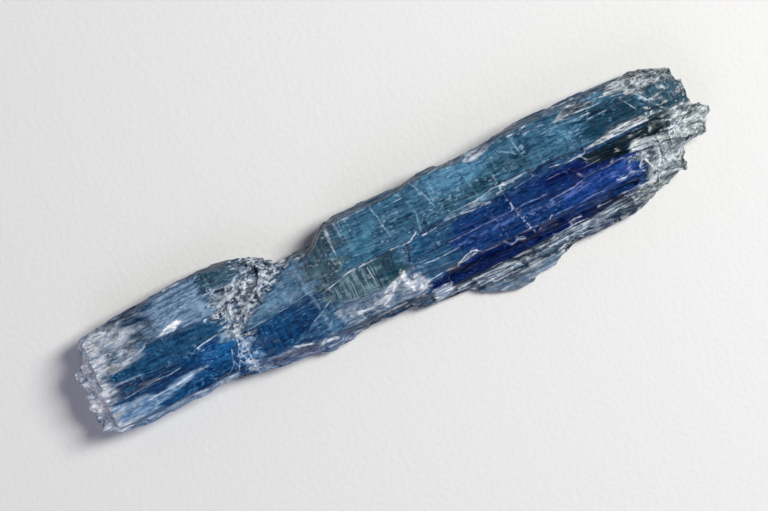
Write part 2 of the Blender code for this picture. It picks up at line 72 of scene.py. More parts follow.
HEX = {
    "steel": "164a72",
    "deep": "003e72",
    "deep_dark": "002c5c",
    "toe_blue": "064880",
    "slate": "18506e",
    "rim_slate": "40708e",
    "keel_slate": "285c78",
    "fin_slate": "b2cadc",
    "skirt_slate": "0c3c5c",
    "rubble_slate": "0a4066",
    "end_slate": "143a48",
    "end_blue": "1a465a",
    # painted reflection: the colour of the light's sheen on a flat facet
    "sheen": "708ead",
    "bottle": "365c70",
    "dusk_blue": "507fa2",
    "strip_blue": "90bce2",
    "edge_blue": "acd0f0",
    "corner_blue": "3c6c94",
    "start_blue": "22628e",
    "royal": "00326a",
    "royal_teal": "0a4a78",
    "royal_light": "0a3a8a",
    "navy": "000f48",
    # deep navy, made darker as painted shade for the side face turned away from the light
    "navy_side": "001240",
    "black_green": "06141c",
    "crevice": "0e2434",
    "teal": "2c6080",
    "teal_dark": "0a4256",
    "teal_far": "002a3c",
    "teal_light": "4a83a4",
    "grey_green": "35626f",
    "comb_dark": "184458",
    "celadon": "587e8a",
    "crest": "427c98",
    # painted reflection: the lavender sheen of the light on the lower facets
    "pale_lavender": "56789a",
    "rim_lavender": "5a92d0",
    "stone": "768486",
    "horn": "a0aaa8",
    "chalk": "bcc6d6",
    "tongue_chalk": "a6b4b6",
    "rubble_chalk": "586a7c",
    "frosted": "d2d8e0",
    "ice": "b0cbe0",
    "blue_ice": "9cc0d8",
    "silver": "bccbd2",
    "violet_ice": "5878c8",
    "navy_glint": "2850a0",
    "sea_glint": "5a98c8",
    "rubble_pale": "7e94ac",
    "rubble_blue": "4c8cc8",
    "white": "ecf3fa",
    "inside": "bcddf3",
    "paper": "ececea",
    "window_light": "fffff9",
    "reflected_light": "e7e5ff",
    "sky_light": "e7e2ff",
}


class Zone(NamedTuple):
    """One region of the crystal in plan. Later zones lie over earlier ones."""

    body: str  # its colour
    pale: str  # the colour of its fine lines and flecks
    soft: float  # half the width of its border, in millimetres
    clear: float  # the share of the light that goes through
    frost: float  # how crushed it is, from 0 to 1
    flaky: float  # how far it is split into thin flakes, from 0 to 1
    hatch: float  # how strong its crosswise lines are, from 0 to 1
    outline: list  # in millimetres


BLADES = Zone("steel", "ice", 0, 0.36, 0, 0.1, 0.2, [])
ZONES = {
    "left_top": Zone("slate", "sea_glint", 0.4, 0.33, 0.2, 0.4, 0.1, [
        (-26, 2.2), (-26, 7), (-19, 7), (-19, 2.4)]),
    "left_mid": Zone("steel", "sea_glint", 0.4, 0.36, 0.05, 0.15, 0.4, [
        (-25, 0), (-25, 2.4), (-15, 2.4), (-15, 0.3)]),
    # left_sheen is a painted reflection: the sheen of the light on this flat facet is laid into its colour
    "left_sheen": Zone("sheen", "ice", 0.5, 0.2, 0.1, 0.1, 0.2, [
        (-20.8, 2.3), (-20.2, 5.6), (-15.6, 5.9), (-15.5, 4), (-14.9, 3.8), (-15.1, 2), (-16.5, 2.2),
        (-18, 2.4)]),
    "left_band": Zone("dusk_blue", "ice", 0.3, 0.26, 0.15, 0, 0.5, [
        (-15.6, 2.4), (-14.9, 2.4), (-14.2, 0.2), (-14.2, -1.2), (-14.9, -0.8), (-15.4, 0.4)]),
    "left_dark": Zone("bottle", "blue_ice", 0.12, 0.39, 0, 0, 0.3, [
        (-15.5, 4), (-15.4, 5.8), (-12.4, 5.7), (-12.3, 4.1)]),
    "left_low": Zone("deep", "sea_glint", 0.3, 0.39, 0, 0.1, 0.1, [
        (-26, -3.4), (-26, 0.1), (-15.1, 0.3), (-14.1, -1.6), (-14.1, -3.4)]),
    "left_streaks": Zone("deep_dark", "sea_glint", 0.25, 0.33, 0.05, 0.25, 0.1, [
        (-25.6, -1.2), (-25.6, 0.2), (-21, 0.2), (-19, -0.3), (-21.5, -0.9)]),
    "left_toe": Zone("toe_blue", "sea_glint", 0.4, 0.08, 0, 0.1, 0.2, [
        (-17.8, 0.3), (-17.6, -1.2), (-15, -1.4), (-15.2, 0.1)]),
    "left_pale_strip": Zone("strip_blue", "white", 0.2, 0.2, 0.1, 0.3, 0.1, [
        (-26, -3), (-25.8, -1.4), (-23.6, -1.5), (-21.5, -1.75), (-19.5, -1.35), (-17.2, -1.25),
        (-17.2, -1.5), (-19.8, -1.95), (-21.3, -2.5), (-22.8, -2.9)]),
    "left_rim": Zone("edge_blue", "white", 0.12, 0.23, 0.1, 0.6, 0, [
        (-26, -5), (-26, -3.1), (-20, -2.95), (-15.5, -2.75), (-15.5, -5)]),
    "waist_upper": Zone("dusk_blue", "blue_ice", 0.5, 0.33, 0.2, 0, 0.45, [
        (-13.8, 0.2), (-12.2, 1.2), (-9.8, 2.3), (-8.3, 3.3), (-6.9, 3.5), (-6.9, 0.5), (-9.9, 0.1)]),
    "waist_low": Zone("deep", "sea_glint", 0.25, 0.42, 0, 0, 0.55, [
        (-13.6, -4), (-13.6, 0.1), (-12.3, -0.1), (-7.5, 0.4), (-7.4, -1), (-8.7, -2.1), (-8.7, -4)]),
    "waist_dark": Zone("deep_dark", "sea_glint", 0.2, 0.42, 0, 0, 0.2, [
        (-9.6, -2.6), (-9.6, -0.5), (-7.5, 0.3), (-7.4, -1.1), (-8.7, -2)]),
    "blue_corner": Zone("corner_blue", "blue_ice", 0.3, 0.39, 0.05, 0, 0.3, [
        (-8.7, -3.4), (-8.7, -2.1), (-7, -1), (-6.2, -1.4), (-6.2, -3.4)]),
    "waist_flecks": Zone("toe_blue", "ice", 0.25, 0.29, 0.25, 0.35, 0.4, [
        (-12.9, -3.8), (-12.9, -2.7), (-9.5, -2.9), (-8, -3.2), (-5.5, -3.4), (-5.5, -4.2), (-12.9, -4)]),
    "waist_rim": Zone("rim_lavender", "ice", 0.15, 0.26, 0.3, 0.9, 0, [
        (-13.1, -5), (-13.1, -3.7), (-9.1, -3.6), (-5.1, -3.7), (-5.1, -5)]),
    "shoulder": Zone("grey_green", "silver", 0.4, 0.39, 0.1, 0, 0.55, [
        (-7, 0.2), (-7, 5), (-3.7, 5), (-3.7, 1), (-5.1, 0.6)]),
    "roof": Zone("teal", "blue_ice", 0.3, 0.36, 0, 0, 0.3, [
        (-4.4, 4.2), (-3, 8), (24, 8), (24, 2.2), (18.9, 1.9), (12.5, 2.1), (8.1, 1.6), (4.5, 1.3),
        (-4, 1)]),
    "roof_glow_left": Zone("crest", "blue_ice", 0.9, 0.26, 0, 0, 0.4, [
        (-3.4, 2), (-3.6, 3.9), (-1.5, 3.9), (-0.9, 1.8), (-2, 1.4)]),
    "roof_glow_middle": Zone("teal_light", "blue_ice", 1.2, 0.26, 0, 0, 0.4, [
        (3.9, 3.2), (3.7, 4.8), (6, 5.3), (9.7, 4.9), (9.5, 3), (6.5, 2.9)]),
    "roof_glow_right": Zone("teal_light", "blue_ice", 0.9, 0.26, 0, 0, 0.3, [
        (14.8, 3.2), (14.9, 4.3), (16.4, 4.4), (16.9, 3.6), (16, 3)]),
    "roof_dark_left": Zone("teal_dark", "blue_ice", 0.4, 0.39, 0, 0, 0.2, [
        (0.3, 2.4), (0.3, 3), (1.5, 3), (1.5, 2.3)]),
    "roof_dark_middle": Zone("teal_dark", "blue_ice", 0.5, 0.39, 0, 0, 0.2, [
        (4, 1.9), (4.2, 2.8), (9.2, 3), (9.4, 2.3)]),
    "roof_dark_right": Zone("teal_dark", "blue_ice", 0.6, 0.39, 0, 0, 0.2, [
        (9.7, 2.9), (10, 4), (12.5, 3.6), (12.5, 2.6)]),
    "roof_far": Zone("teal_far", "sea_glint", 0.7, 0.36, 0.05, 0, 0.2, [
        (17.5, 2.2), (17.7, 4.8), (21.3, 4.9), (23.6, 2.5), (22, 2.3)]),
    "roof_rim": Zone("rim_slate", "silver", 0.4, 0.33, 0.15, 0.45, 0, [
        (-5.5, 4.7), (-3.5, 8), (24, 8), (24, 5.5), (11.7, 5.5), (5.3, 5.4), (-0.3, 5)]),
    "rim_chip": Zone("chalk", "white", 0.12, 0.2, 0.5, 0.3, 0, [
        (8.1, 5), (8.2, 5.8), (9.3, 5.9), (10.4, 5.4), (9.4, 4.8), (8.6, 4.7)]),
    "roof_flake_a": Zone("stone", "white", 0.12, 0.2, 0.2, 0.8, 0, [
        (15.6, 4.75), (15.8, 5.1), (17.3, 5.6), (19, 5.1), (18.4, 4.8), (17, 4.7)]),
    "roof_flake_b": Zone("stone", "white", 0.12, 0.2, 0.2, 0.8, 0, [
        (20, 5.2), (20.8, 5.8), (21.6, 5.7), (21.7, 5), (20.9, 4.9)]),
    "pale_block": Zone("celadon", "silver", 0.25, 0.39, 0.1, 0, 0.7, [
        (-6.2, 0), (-4.3, 0.7), (-1.9, 0.9), (-0.2, 1), (-0.2, -1), (-1, -1.8), (-4.3, -1.6),
        (-6.2, -1.1)]),
    "pale_block_end": Zone("comb_dark", "celadon", 0.3, 0.39, 0.1, 0, 0.6, [
        (-2.7, -1.2), (-2.5, 0.8), (0.6, 1), (0.4, -0.6), (-0.6, -1.2)]),
    # pale_low: its lavender is a painted reflection, the sheen of the light on these lower facets
    "pale_low": Zone("pale_lavender", "silver", 0.25, 0.26, 0.3, 0.2, 0.3, [
        (-6.5, -1.2), (-4.3, -1.5), (-1, -1.8), (-0.2, -1.1), (0.6, -1.4), (1.2, -3.1), (-1.1, -3.2),
        (-6.3, -3.3)]),
    "pale_rim": Zone("keel_slate", "ice", 0.15, 0.26, 0.1, 0.7, 0, [
        (-5.3, -5), (-5.3, -3.3), (0.5, -3.2), (0.5, -5)]),
    "teal_start": Zone("start_blue", "blue_ice", 0.4, 0.42, 0, 0.1, 0.4, [
        (-0.2, 1), (4.5, 1.3), (4.5, -0.8), (3.2, -2.4), (1.3, -2.7), (0.3, -1)]),
    "royal_start": Zone("royal_teal", "blue_ice", 0.9, 0.4, 0, 0, 0.25, [
        (3.2, 1.1), (7, 1.2), (7, -2.2), (5, -2.4), (2.9, -1.8)]),
    "royal": Zone("royal", "violet_ice", 0.6, 0.42, 0, 0, 0.15, [
        (5.6, 1.15), (8.1, 1.2), (12.5, 1.7), (15.7, 1.6), (20.6, 1.6), (20.6, 0), (21.3, -0.6),
        (20.3, -1.9), (18.9, -3), (2.3, -2.6), (3.8, -1.9), (5, -0.8)]),
    "royal_bright": Zone("royal_light", "violet_ice", 0.6, 0.33, 0, 0, 0.3, [
        (13.9, -0.4), (20.6, -0.2), (20.3, -1.4), (13.9, -1.6)]),
    "navy_top": Zone("navy", "navy_glint", 0.3, 0.25, 0, 0, 0, [
        (12, 0.9), (15.7, 1.5), (20.3, 1.4), (20, -0.1), (14, -0.2)]),
    # the side face under the royal blade: deep navy, darkened further as painted shade where it faces away
    # from the light
    "navy_side": Zone("navy_side", "navy_glint", 0.1, 0, 0, 0, 0, [
        (1.1, -3.4), (1.3, -2.9), (3.3, -2.3), (10.1, -2.1), (14.1, -2.4), (18.9, -2.5), (18.9, -3),
        (14.1, -3.3), (7.7, -3.6), (3.3, -3.7)]),
    # gap: painted shadow, the dark step under the far crest laid in as near-black colour
    "gap": Zone("black_green", "comb_dark", 0.12, 0.1, 0.05, 0.1, 0, [
        (15.9, 1.5), (19.3, 1.65), (22.6, 1.75), (24.2, 1), (22.9, 0.4), (21.5, 0.8), (20.2, 0.8),
        (19.9, 0.1), (17, 0.6)]),
    "crest_strip": Zone("teal_light", "ice", 0.12, 0.26, 0.1, 0.5, 0.3, [
        (4.5, 1.35), (5.1, 1.65), (8, 1.8), (9.8, 2.2), (12, 2.1), (9.7, 1.6), (8.3, 1.3)]),
    "crest_far": Zone("stone", "white", 0.1, 0.26, 0.2, 0.8, 0, [
        (17, 1.9), (19.3, 2.45), (22.2, 2.5), (22.5, 1.95), (19.4, 1.85)]),
    "skirt": Zone("skirt_slate", "ice", 0.12, 0.33, 0.2, 1, 0, [
        (3.3, -3.7), (7.7, -3.6), (14.1, -3.3), (18.9, -2.8), (20.6, -2.4), (21.7, -3.2), (20.6, -5),
        (14.1, -6), (8.5, -8), (2.1, -6), (1.3, -4.5), (1.3, -3.5)]),
    "skirt_light": Zone("rim_slate", "ice", 0.2, 0.26, 0.2, 1, 0, [
        (3, -4.1), (8, -4), (10.5, -4.3), (13, -3.9), (20, -3.3), (21.5, -2.9), (21, -3.6), (12, -4.9),
        (9, -4.7), (4, -4.8)]),
    "fin": Zone("fin_slate", "silver", 0.2, 0.3, 0.2, 0.55, 0, [
        (3.5, -4.9), (12.5, -4.9), (9.5, -8), (6, -8)]),
    "plate": Zone("white", "white", 0.05, 0.2, 0.1, 0, 0, [
        (1.3, -3.4), (3, -3.4), (2.9, -4), (1.9, -4.3), (1.4, -4.3)]),
    "fan_left": Zone("frosted", "white", 0.12, 0.2, 0.3, 0.2, 0, [
        (-2.9, -2.5), (-1.6, -1.7), (-0.5, -1), (-0.5, -1.7), (-1.4, -2.3), (-1.9, -2.8)]),
    "fan": Zone("white", "white", 0.06, 0.13, 0.2, 0, 0, [
        (-0.5, -0.8), (-0.1, -1.3), (0.4, -2.1), (0.2, -2.9), (-0.15, -2.3), (-0.4, -1.5)]),
    "ice_block": Zone("frosted", "white", 0.12, 0.2, 0.5, 0, 0.3, [
        (0.6, -1.5), (1.2, -1.5), (1.45, -3), (0.5, -3.1), (0.4, -2.4)]),
    "break": Zone("rubble_slate", "rubble_pale", 0.25, 0.23, 1, 0.2, 0, [
        (-15.3, 1.6), (-15.3, 3.2), (-13.5, 3.8), (-12.3, 4.1), (-12.2, 6.5), (-9, 6), (-7, 5),
        (-7, 3.5), (-8.3, 3.3), (-9.8, 2.4), (-12.2, 1.2), (-12.8, 0.5), (-13.4, 0.2), (-13.2, -5),
        (-14.2, -5), (-14.2, -2), (-14.1, 0), (-15, 1)]),
    "break_light": Zone("rubble_chalk", "chalk", 0.2, 0.16, 0.8, 0.3, 0, [
        (-13.8, 0), (-13.9, 0.9), (-12.6, 2), (-13, 2.6), (-14.6, 2.4), (-14.8, 3), (-12.5, 3.8),
        (-10.6, 3.3), (-11, 2.4), (-12.4, 1.3)]),
    "break_low": Zone("rubble_blue", "blue_ice", 0.2, 0.2, 0.7, 0.2, 0, [
        (-14.4, -0.6), (-13.3, -0.6), (-12.8, -2.6), (-12.6, -5), (-14, -5), (-14.4, -2)]),
    "left_end": Zone("frosted", "white", 0.7, 0.13, 0.5, 0.5, 0, [
        (-29, -5), (-29, 6.5), (-24.1, 6.5), (-23.1, 4.8), (-21.8, 3.7), (-22.7, 2.9), (-21.4, 2.4),
        (-23, 1.8), (-24.9, 1.1), (-25.4, 0.2), (-24.8, -0.8), (-25.6, -1.6), (-24.2, -2.2),
        (-25.8, -3), (-23.5, -4)]),
    "left_face": Zone("white", "silver", 0.5, 0.1, 0.3, 0.1, 0, [
        (-29, -5), (-29, 6.5), (-25.8, 6.5), (-25.7, -5)]),
    "left_ridge": Zone("frosted", "white", 0.5, 0.1, 0.35, 0.1, 0.2, [
        (-26, -3.6), (-26, 4.9), (-25.2, 4.9), (-25.3, 2), (-25.1, -1), (-25.4, -3.6)]),
    # painted highlight: a white glint of the light on the left blade, laid in as colour
    "left_glint": Zone("white", "white", 0.06, 0.13, 0.15, 0, 0, [
        (-19.9, 2.35), (-19.2, 2.75), (-18, 2.95), (-17.8, 2.7), (-18.6, 2.3)]),
    "right_end": Zone("stone", "horn", 0.3, 0.26, 0.9, 0.3, 0, [
        (20.1, -3.2), (20.6, -1.9), (21.3, -0.8), (20.6, 0), (23.6, 0), (24.4, 0.9), (24.1, 1.7),
        (23, 2.4), (23.5, 2.7), (22.6, 3.8), (21.5, 5), (20.7, 5.9), (29, 7), (29, -5), (20.1, -5)]),
    "right_top": Zone("end_slate", "stone", 0.4, 0.2, 0.5, 0.2, 0, [
        (21.5, 5), (22.6, 6.5), (26, 5), (25.8, 4.2), (23, 3.9)]),
    "right_blue": Zone("end_blue", "bottle", 0.2, 0.3, 0.12, 0.15, 0, [
        (22.9, 2.2), (22.6, 4.4), (25.8, 4.4), (26.4, 1.8)]),
    "right_dark": Zone("end_blue", "bottle", 0.3, 0.3, 0.2, 0.2, 0, [
        (24.9, 3.6), (25.7, 3.4), (26.4, 1.9), (25.5, 1.8)]),
    "right_low": Zone("horn", "horn", 0.3, 0.2, 0.7, 0.3, 0, [
        (22.3, -1.2), (24.8, -1), (24.4, -3), (22.4, -3.6), (21.6, -2.6)]),
    "right_pocket": Zone("end_blue", "white", 0.2, 0.3, 0.3, 0.2, 0, [
        (21.1, 0), (20.9, -0.9), (20.7, -2), (21.3, -2.3), (22.2, -1.9), (22.4, -1), (22.3, -0.1)]),
    "right_slot": Zone("black_green", "celadon", 0.2, 0.1, 0.15, 0.15, 0, [
        (22.2, 1.9), (22.2, 1), (23.4, 0.7), (24.3, 1), (23.8, 2.1), (23, 2.2)]),
    "right_pale": Zone("horn", "frosted", 0.3, 0.2, 0.5, 0.3, 0, [
        (21, -1.9), (22, -2.6), (24.2, -1.5), (24.6, -0.9), (22.6, -1.2)]),
    "tongue": Zone("tongue_chalk", "white", 0.08, 0.2, 0.3, 0.1, 0, [
        (19.9, 0.1), (20.3, 0.8), (22, 0.7), (23.2, 0.3), (22.6, 0), (21, -0.1)]),
    "tongue_block": Zone("stone", "white", 0.2, 0.23, 0.15, 0.2, 1, [
        (22.2, 0), (22.4, -1), (25, -0.9), (25.2, 0.4), (23.4, 0.6)]),
}

# Zones that lie only in the upper faces: chips and flakes, and the painted sheen and glint. They don't go
# down the sides, apart from the rims, which begin between these heights.
RIM_FROM, RIM_TO = 3.2, 4.0
SHALLOW = ("rim_chip", "roof_flake_a", "roof_flake_b", "left_sheen", "left_glint", "fan", "ice_block")

# Veins: crests that catch the light (painted highlights), cleavage lines, cracks, and painted shade under
# steps.
# Each is its width in millimetres, how white it is (or how dark, as a negative number), and its course in
# plan.
VEINS = [
    (0.12, 1, [(-6.3, 0.2), (-5.3, 0.4), (-4.3, 0.7), (-2.7, 0.9), (-1.7, 0.9)]),
    (0.1, 0.9, [(-0.2, 1), (1.4, 1), (1.9, 1.3)]),
    (0.1, 0.9, [(2.5, 1), (4.5, 1.2)]),
    (0.07, 0.7, [(4.5, 1.4), (5.4, 1.7), (7.7, 1.8), (8.9, 2.1), (10.1, 2.1)]),
    (0.12, 0.9, [(4.6, 1.3), (6.9, 1.2), (8.1, 1.2)]),
    (0.08, 0.7, [(10.9, 2), (11.8, 2.2), (12.5, 2.1)]),
    (0.06, 0.6, [(10.9, 1.4), (12.1, 1.6)]),
    (0.08, 0.9, [(14.1, 1.7), (15.3, 1.5), (16.5, 1.6)]),
    (0.16, 0.9, [(17.1, 1.9), (18.5, 1.85), (20.6, 1.95), (22.1, 1.9)]),
    (0.12, 0.7, [(17.4, 1.95), (19.5, 2.3), (21.7, 2.4)]),
    (0.09, 0.45, [(4.5, -0.4), (7.7, -0.2), (10.9, -0.1), (12.5, -0.1)]),
    (0.11, 0.5, [(12.9, -0.6), (14.9, -0.5), (16.1, -0.2), (18.9, 0), (20.6, -0.2), (21.1, -0.6)]),
    (0.06, 0.6, [(6.5, -2.2), (7.5, -2.2)]),
    (0.09, 0.45, [(9.3, -2.1), (11.7, -2), (14.9, -1.8), (18.9, -1.6), (20.3, -1.4)]),
    (0.06, 0.4, [(12.5, -1.1), (14.5, -1)]),
    (0.12, 1, [(4.2, -2.2), (4.5, -2.1), (4.9, -1.9), (5.6, -1.8), (6.3, -2.2)]),
    (0.1, 1, [(4.3, -2.25), (5, -2.2), (5.5, -2.1)]),
    (0.1, 0.8, [(9.4, 2.8), (9.7, 0.8), (10, -0.2), (10.2, -1), (10.6, -2.1)]),
    (0.05, 0.6, [(10.2, -0.4), (10.9, -1)]),
    (0.05, 0.35, [(7.4, 3.4), (7.7, 2.2), (8, 0.8), (8.3, -0.3), (8.5, -1.6)]),
    (0.3, 0.8, [(-4.4, 4.3), (-4.45, 3.6)]),
    (0.1, 0.7, [(-4.45, 3.6), (-4.4, 2.8), (-4.35, 1.8)]),
    (0.06, 0.5, [(-0.3, 4.3), (-0.2, 3.4)]),
    (0.06, 0.5, [(3.4, 4.6), (3.6, 3.8)]),
    (0.05, 0.4, [(4.5, 4.8), (4.6, 4)]),
    (0.07, 0.8, [(-2.6, 0.7), (-2.5, -0.2), (-2.2, -1.6)]),
    (0.1, 0.8, [(-14.1, 0.4), (-14.4, -0.8), (-15, -2.4)]),
    (0.12, 0.8, [(-13.9, 0.2), (-13.9, -1.6), (-13.8, -3.6)]),
    (0.16, 0.9, [(-13.5, 0), (-13.1, 0.7), (-12.5, 1.4)]),
    (0.14, 0.6, [(-25.3, 0.2), (-24.3, 0.3), (-22.3, 0.2)]),
    (0.1, 0.9, [(-17.5, 0.2), (-16.7, 0.4), (-15.5, 0.6)]),
    (0.08, 0.6, [(-24.3, -1), (-22.7, -0.8), (-20.3, -0.7), (-19.5, -0.6)]),
    (0.09, 0.65, [(-23.1, -2), (-21.3, -1.8), (-19.5, -1.6), (-17.5, -1.4)]),
    (0.09, 0.5, [(-21.3, -3.1), (-19.5, -3), (-15.5, -2.9)]),
    (0.07, 0.95, [(-17, 3.8), (-15.5, 3.9), (-14.3, 3.9)]),
    (0.07, 0.5, [(-13.5, -0.1), (-11.5, 0), (-9.5, 0.3), (-7.5, 0.6)]),
    (0.06, 0.4, [(-10.1, -0.5), (-8.7, -0.3), (-7.9, -0.2)]),
    (0.07, 0.7, [(-8.8, -2.2), (-8.3, -1.7), (-7.4, -1.3), (-6.6, -0.8)]),
    (0.26, 1, [(-8.5, -3.5), (-7.9, -3.4), (-7.2, -3.6)]),
    (0.14, 0.9, [(-10.2, -2.9), (-9.6, -3.1), (-8.6, -3.4)]),
    (0.14, 0.9, [(-5.2, -2.5), (-4.2, -2.55), (-3.4, -2.6)]),
    (0.14, 0.9, [(0.3, -3.2), (0.9, -2.9), (1.4, -3.3)]),
    (0.1, 0.8, [(1.4, -2.5), (2.4, -2.4), (4, -2.4)]),
    (0.08, 0.7, [(1.4, -1.1), (2.4, -1.2), (4.4, -1.1)]),
    (0.12, 1, [(1.4, -3.35), (2.2, -3.35), (3, -3.3)]),
    (0.12, 0.9, [(3.6, -4.05), (5.3, -3.95), (7.7, -3.85)]),
    (0.1, 0.7, [(5, -4.6), (6.1, -4.5), (7.7, -4.45)]),
    (0.1, 0.8, [(5.2, -4.3), (6.5, -4.35), (7.7, -4.3)]),
    (0.3, 0.9, [(8.5, -4.2), (9.3, -4.15), (10, -4.2)]),
    (0.12, 0.8, [(11.5, -4), (13, -3.9), (14.5, -3.8)]),
    (0.14, 0.9, [(12, -4.5), (13, -4.2), (14.9, -4.1)]),
    (0.1, 0.8, [(12, -3.3), (13, -3.3), (14.9, -3.2)]),
    (0.08, 0.8, [(12.4, -3.55), (13.4, -3.5), (15.4, -3.45)]),
    (0.12, 0.9, [(13.7, -2.9), (14.3, -2.85)]),
    (0.16, 0.9, [(15.9, -3.7), (17.3, -3.6), (19.5, -3.4)]),
    (0.14, 0.8, [(17, -3.1), (18.4, -2.9), (20.3, -2.7)]),
    (0.12, 0.7, [(16.4, -2.7), (18.1, -2.6), (19.7, -2.5)]),
    (0.12, 0.9, [(18.3, -1.4), (19, -1.5), (19.6, -1.2), (20.3, -1.5)]),
    (0.1, 0.9, [(20.5, -1), (21.2, -0.4), (20.9, 0)]),
    (0.1, 0.8, [(21.7, 4.9), (22.6, 3.9), (23.4, 2.9), (23.9, 2.4)]),
    (0.08, 0.7, [(21.2, 4.2), (21.7, 3.4)]),
    (0.1, 0.8, [(17.2, 4.3), (18.1, 4.3)]),
    (0.08, 0.6, [(14.5, 4.4), (15.3, 4.5), (16.5, 4.4)]),
    (0.1, 0.8, [(12, 5.3), (12.8, 5.3), (13.1, 5.4)]),
    (0.07, 0.6, [(5, 5.3), (6, 5.4), (6.8, 5.4)]),
    (0.07, 0.6, [(-22.9, 1.6), (-21.9, 1.7), (-21.3, 2)]),
    (0.12, 0.8, [(-22.9, 1.6), (-21.7, 1.9), (-21.3, 2.1)]),
    (0.1, 0.6, [(-17.5, 2.3), (-16.7, 2.35)]),
    (0.14, 0.9, [(-17.8, 5.5), (-17, 5.55)]),
    (0.1, 0.7, [(-15.1, -1.2), (-15.4, -2.2), (-15.9, -2.6)]),
    (0.1, 0.7, [(-14.7, -1.8), (-15.1, -2.7)]),
    (0.25, 0.9, [(-14.4, 2.6), (-13.6, 2.8)]),
    (0.14, -0.7, [(-27, 2.9), (-27.1, 2.4)]),
    (0.14, -0.7, [(-27, 1.2), (-27.1, 0.6)]),
    (0.12, -0.6, [(-27.1, -0.6), (-27.2, -1.2)]),
    # painted shade: dark lines just under the white crest, where its step shades the blade below
    (0.12, -0.8, [(0.2, 0.8), (1.9, 0.85), (4.4, 1), (8, 1)]),
    (0.12, -0.7, [(-6.2, 0), (-4.4, 0.5), (-2.6, 0.7), (-0.4, 0.8)]),
    (0.14, -0.8, [(-6.6, -1.2), (-6, -1.3), (-5.2, -1.7), (-5, -2.3)]),
    (0.12, -0.7, [(-4.9, -1.7), (-3.8, -1.9), (-2.6, -1.8), (-1.6, -2.2)]),
    (0.12, -0.7, [(-6, -2.9), (-4.6, -2.8), (-2.6, -3.1), (-0.4, -3.3)]),
    (0.1, 0.8, [(-6.6, -2.2), (-5.4, -2.2), (-3.8, -2.6), (-2.2, -3)]),
    (0.12, -0.8, [(-0.6, -1.3), (-0.3, -2), (0, -2.8)]),
    (0.1, 0.9, [(-2.6, -2.8), (-1.6, -2.2), (-0.9, -1.4)]),
    (0.14, -0.9, [(1.2, -3.2), (2.2, -3.1), (3.2, -3.1)]),
    (0.14, -0.9, [(1.3, -4.4), (2.1, -4.3), (3.1, -4.6), (4.9, -5.1)]),
    (0.12, -0.9, [(3, -3.6), (6, -3.75), (9, -3.75), (13, -3.45), (17.5, -3.1)]),
    (0.16, -0.8, [(4.9, -4.7), (6.2, -5), (8, -5), (9.4, -5.3), (11.4, -5)]),
    (0.14, -0.8, [(10.6, -4.6), (12.6, -4.3), (15.4, -4), (18.8, -3.7), (20.6, -3.2)]),
    (0.14, -0.9, [(19.9, 0.9), (20, 0.2), (20.6, -0.1), (21.8, -0.2)]),
    (0.14, -0.9, [(20.3, 1), (21.8, 0.9), (23, 0.6), (23.8, 0.9)]),
    (0.12, -0.8, [(22.4, 0.5), (22.5, -0.4), (22.6, -1.1)]),
    (0.14, -0.8, [(22.5, -1.2), (23.6, -1.1), (24.9, -1), (25.4, -0.5)]),
    (0.12, -0.8, [(24.9, 0.6), (25.1, 0), (25.2, -0.7)]),
    (0.14, -0.8, [(24.6, 1.3), (25.6, 1), (26.6, 1.1)]),
    (0.12, -0.7, [(24.9, 0.3), (26, 0.1), (26.9, 0.5)]),
    (0.16, -0.8, [(25.9, 3.9), (26.2, 3.2), (26.3, 2.4), (26.5, 1.8)]),
    (0.12, -0.7, [(21.9, 4.2), (22.7, 3.2), (23.4, 2.4)]),
    (0.12, 0.9, [(21, -0.7), (21.3, -1.6), (20.9, -2.4)]),
    (0.14, 0.9, [(22.3, -0.3), (22.1, -1.3), (21.5, -2.2), (22.6, -2.6)]),
    (0.12, 0.9, [(22.6, -1.3), (23.6, -1.5), (24.4, -1.2)]),
    (0.12, -0.8, [(22.3, -2.2), (22.9, -1.9), (23.7, -2.1), (24.2, -1.7)]),
    (0.14, -0.8, [(20.2, -3), (21.3, -3.1), (22.4, -2.9), (23.4, -3.1)]),
    (0.14, 0.9, [(19.6, -2.6), (20.8, -2.6), (21.9, -2.5)]),
    (0.1, 0.9, [(23.8, 0.6), (24.6, 0.7), (25.8, 0.6), (26.9, 0.9)]),
    (0.1, 0.9, [(26, -0.2), (26.8, 0.1), (27.3, 0.8)]),
    (0.1, 0.8, [(25.6, 4.6), (26, 4.1)]),
    (0.08, 0.8, [(23, 4.6), (24, 4.4), (24.8, 4.7)]),
    (0.08, 0.8, [(22.4, 5.5), (23.4, 5.4), (24.2, 5.1)]),
    (0.12, -0.6, [(-12, 4), (-13.6, 3.7), (-15.3, 3.6)]),
    (0.12, -0.7, [(-14.4, 3.3), (-13.4, 3.3), (-12.6, 3.6)]),
    (0.16, -0.7, [(-13.3, 2.5), (-12.4, 2.9), (-11.4, 2.8)]),
    (0.14, -0.8, [(-13.6, 1.9), (-13.7, 1.2), (-13.9, 0.7)]),
    (0.12, -0.7, [(-12.9, 0.5), (-13.4, -0.1), (-13.4, -1.2)]),
    (0.12, -0.7, [(-14.4, -0.4), (-14.6, -1.5)]),
    (0.12, -0.7, [(-13.5, -3), (-13.1, -3.6), (-12.6, -4)]),
    (0.12, -0.7, [(-25.2, -0.5), (-23.5, -0.4), (-21.5, -0.5)]),
    (0.1, -0.6, [(-25, 0), (-23, 0.1), (-20, 0), (-17.5, 0.1)]),
    (0.1, -0.6, [(-24.8, -1.2), (-22.5, -1.1), (-20.5, -1)]),
    (0.1, -0.5, [(-24, -2.6), (-22, -2.4), (-19.5, -2.5)]),
    (0.12, 0.7, [(16.4, 1.5), (16.8, 1.05), (17.4, 0.95)]),
    # painted light: a soft pale line over the step at x -7.8, lightening the shade that the step casts
    (0.35, 0.3, [(-7.75, 3.3), (-7.8, 1), (-7.5, 0.2), (-7.3, -1.2), (-7.2, -2.8)]),
    (0.2, 0.45, [(-3.55, 4.6), (-3.5, 3.9)]),
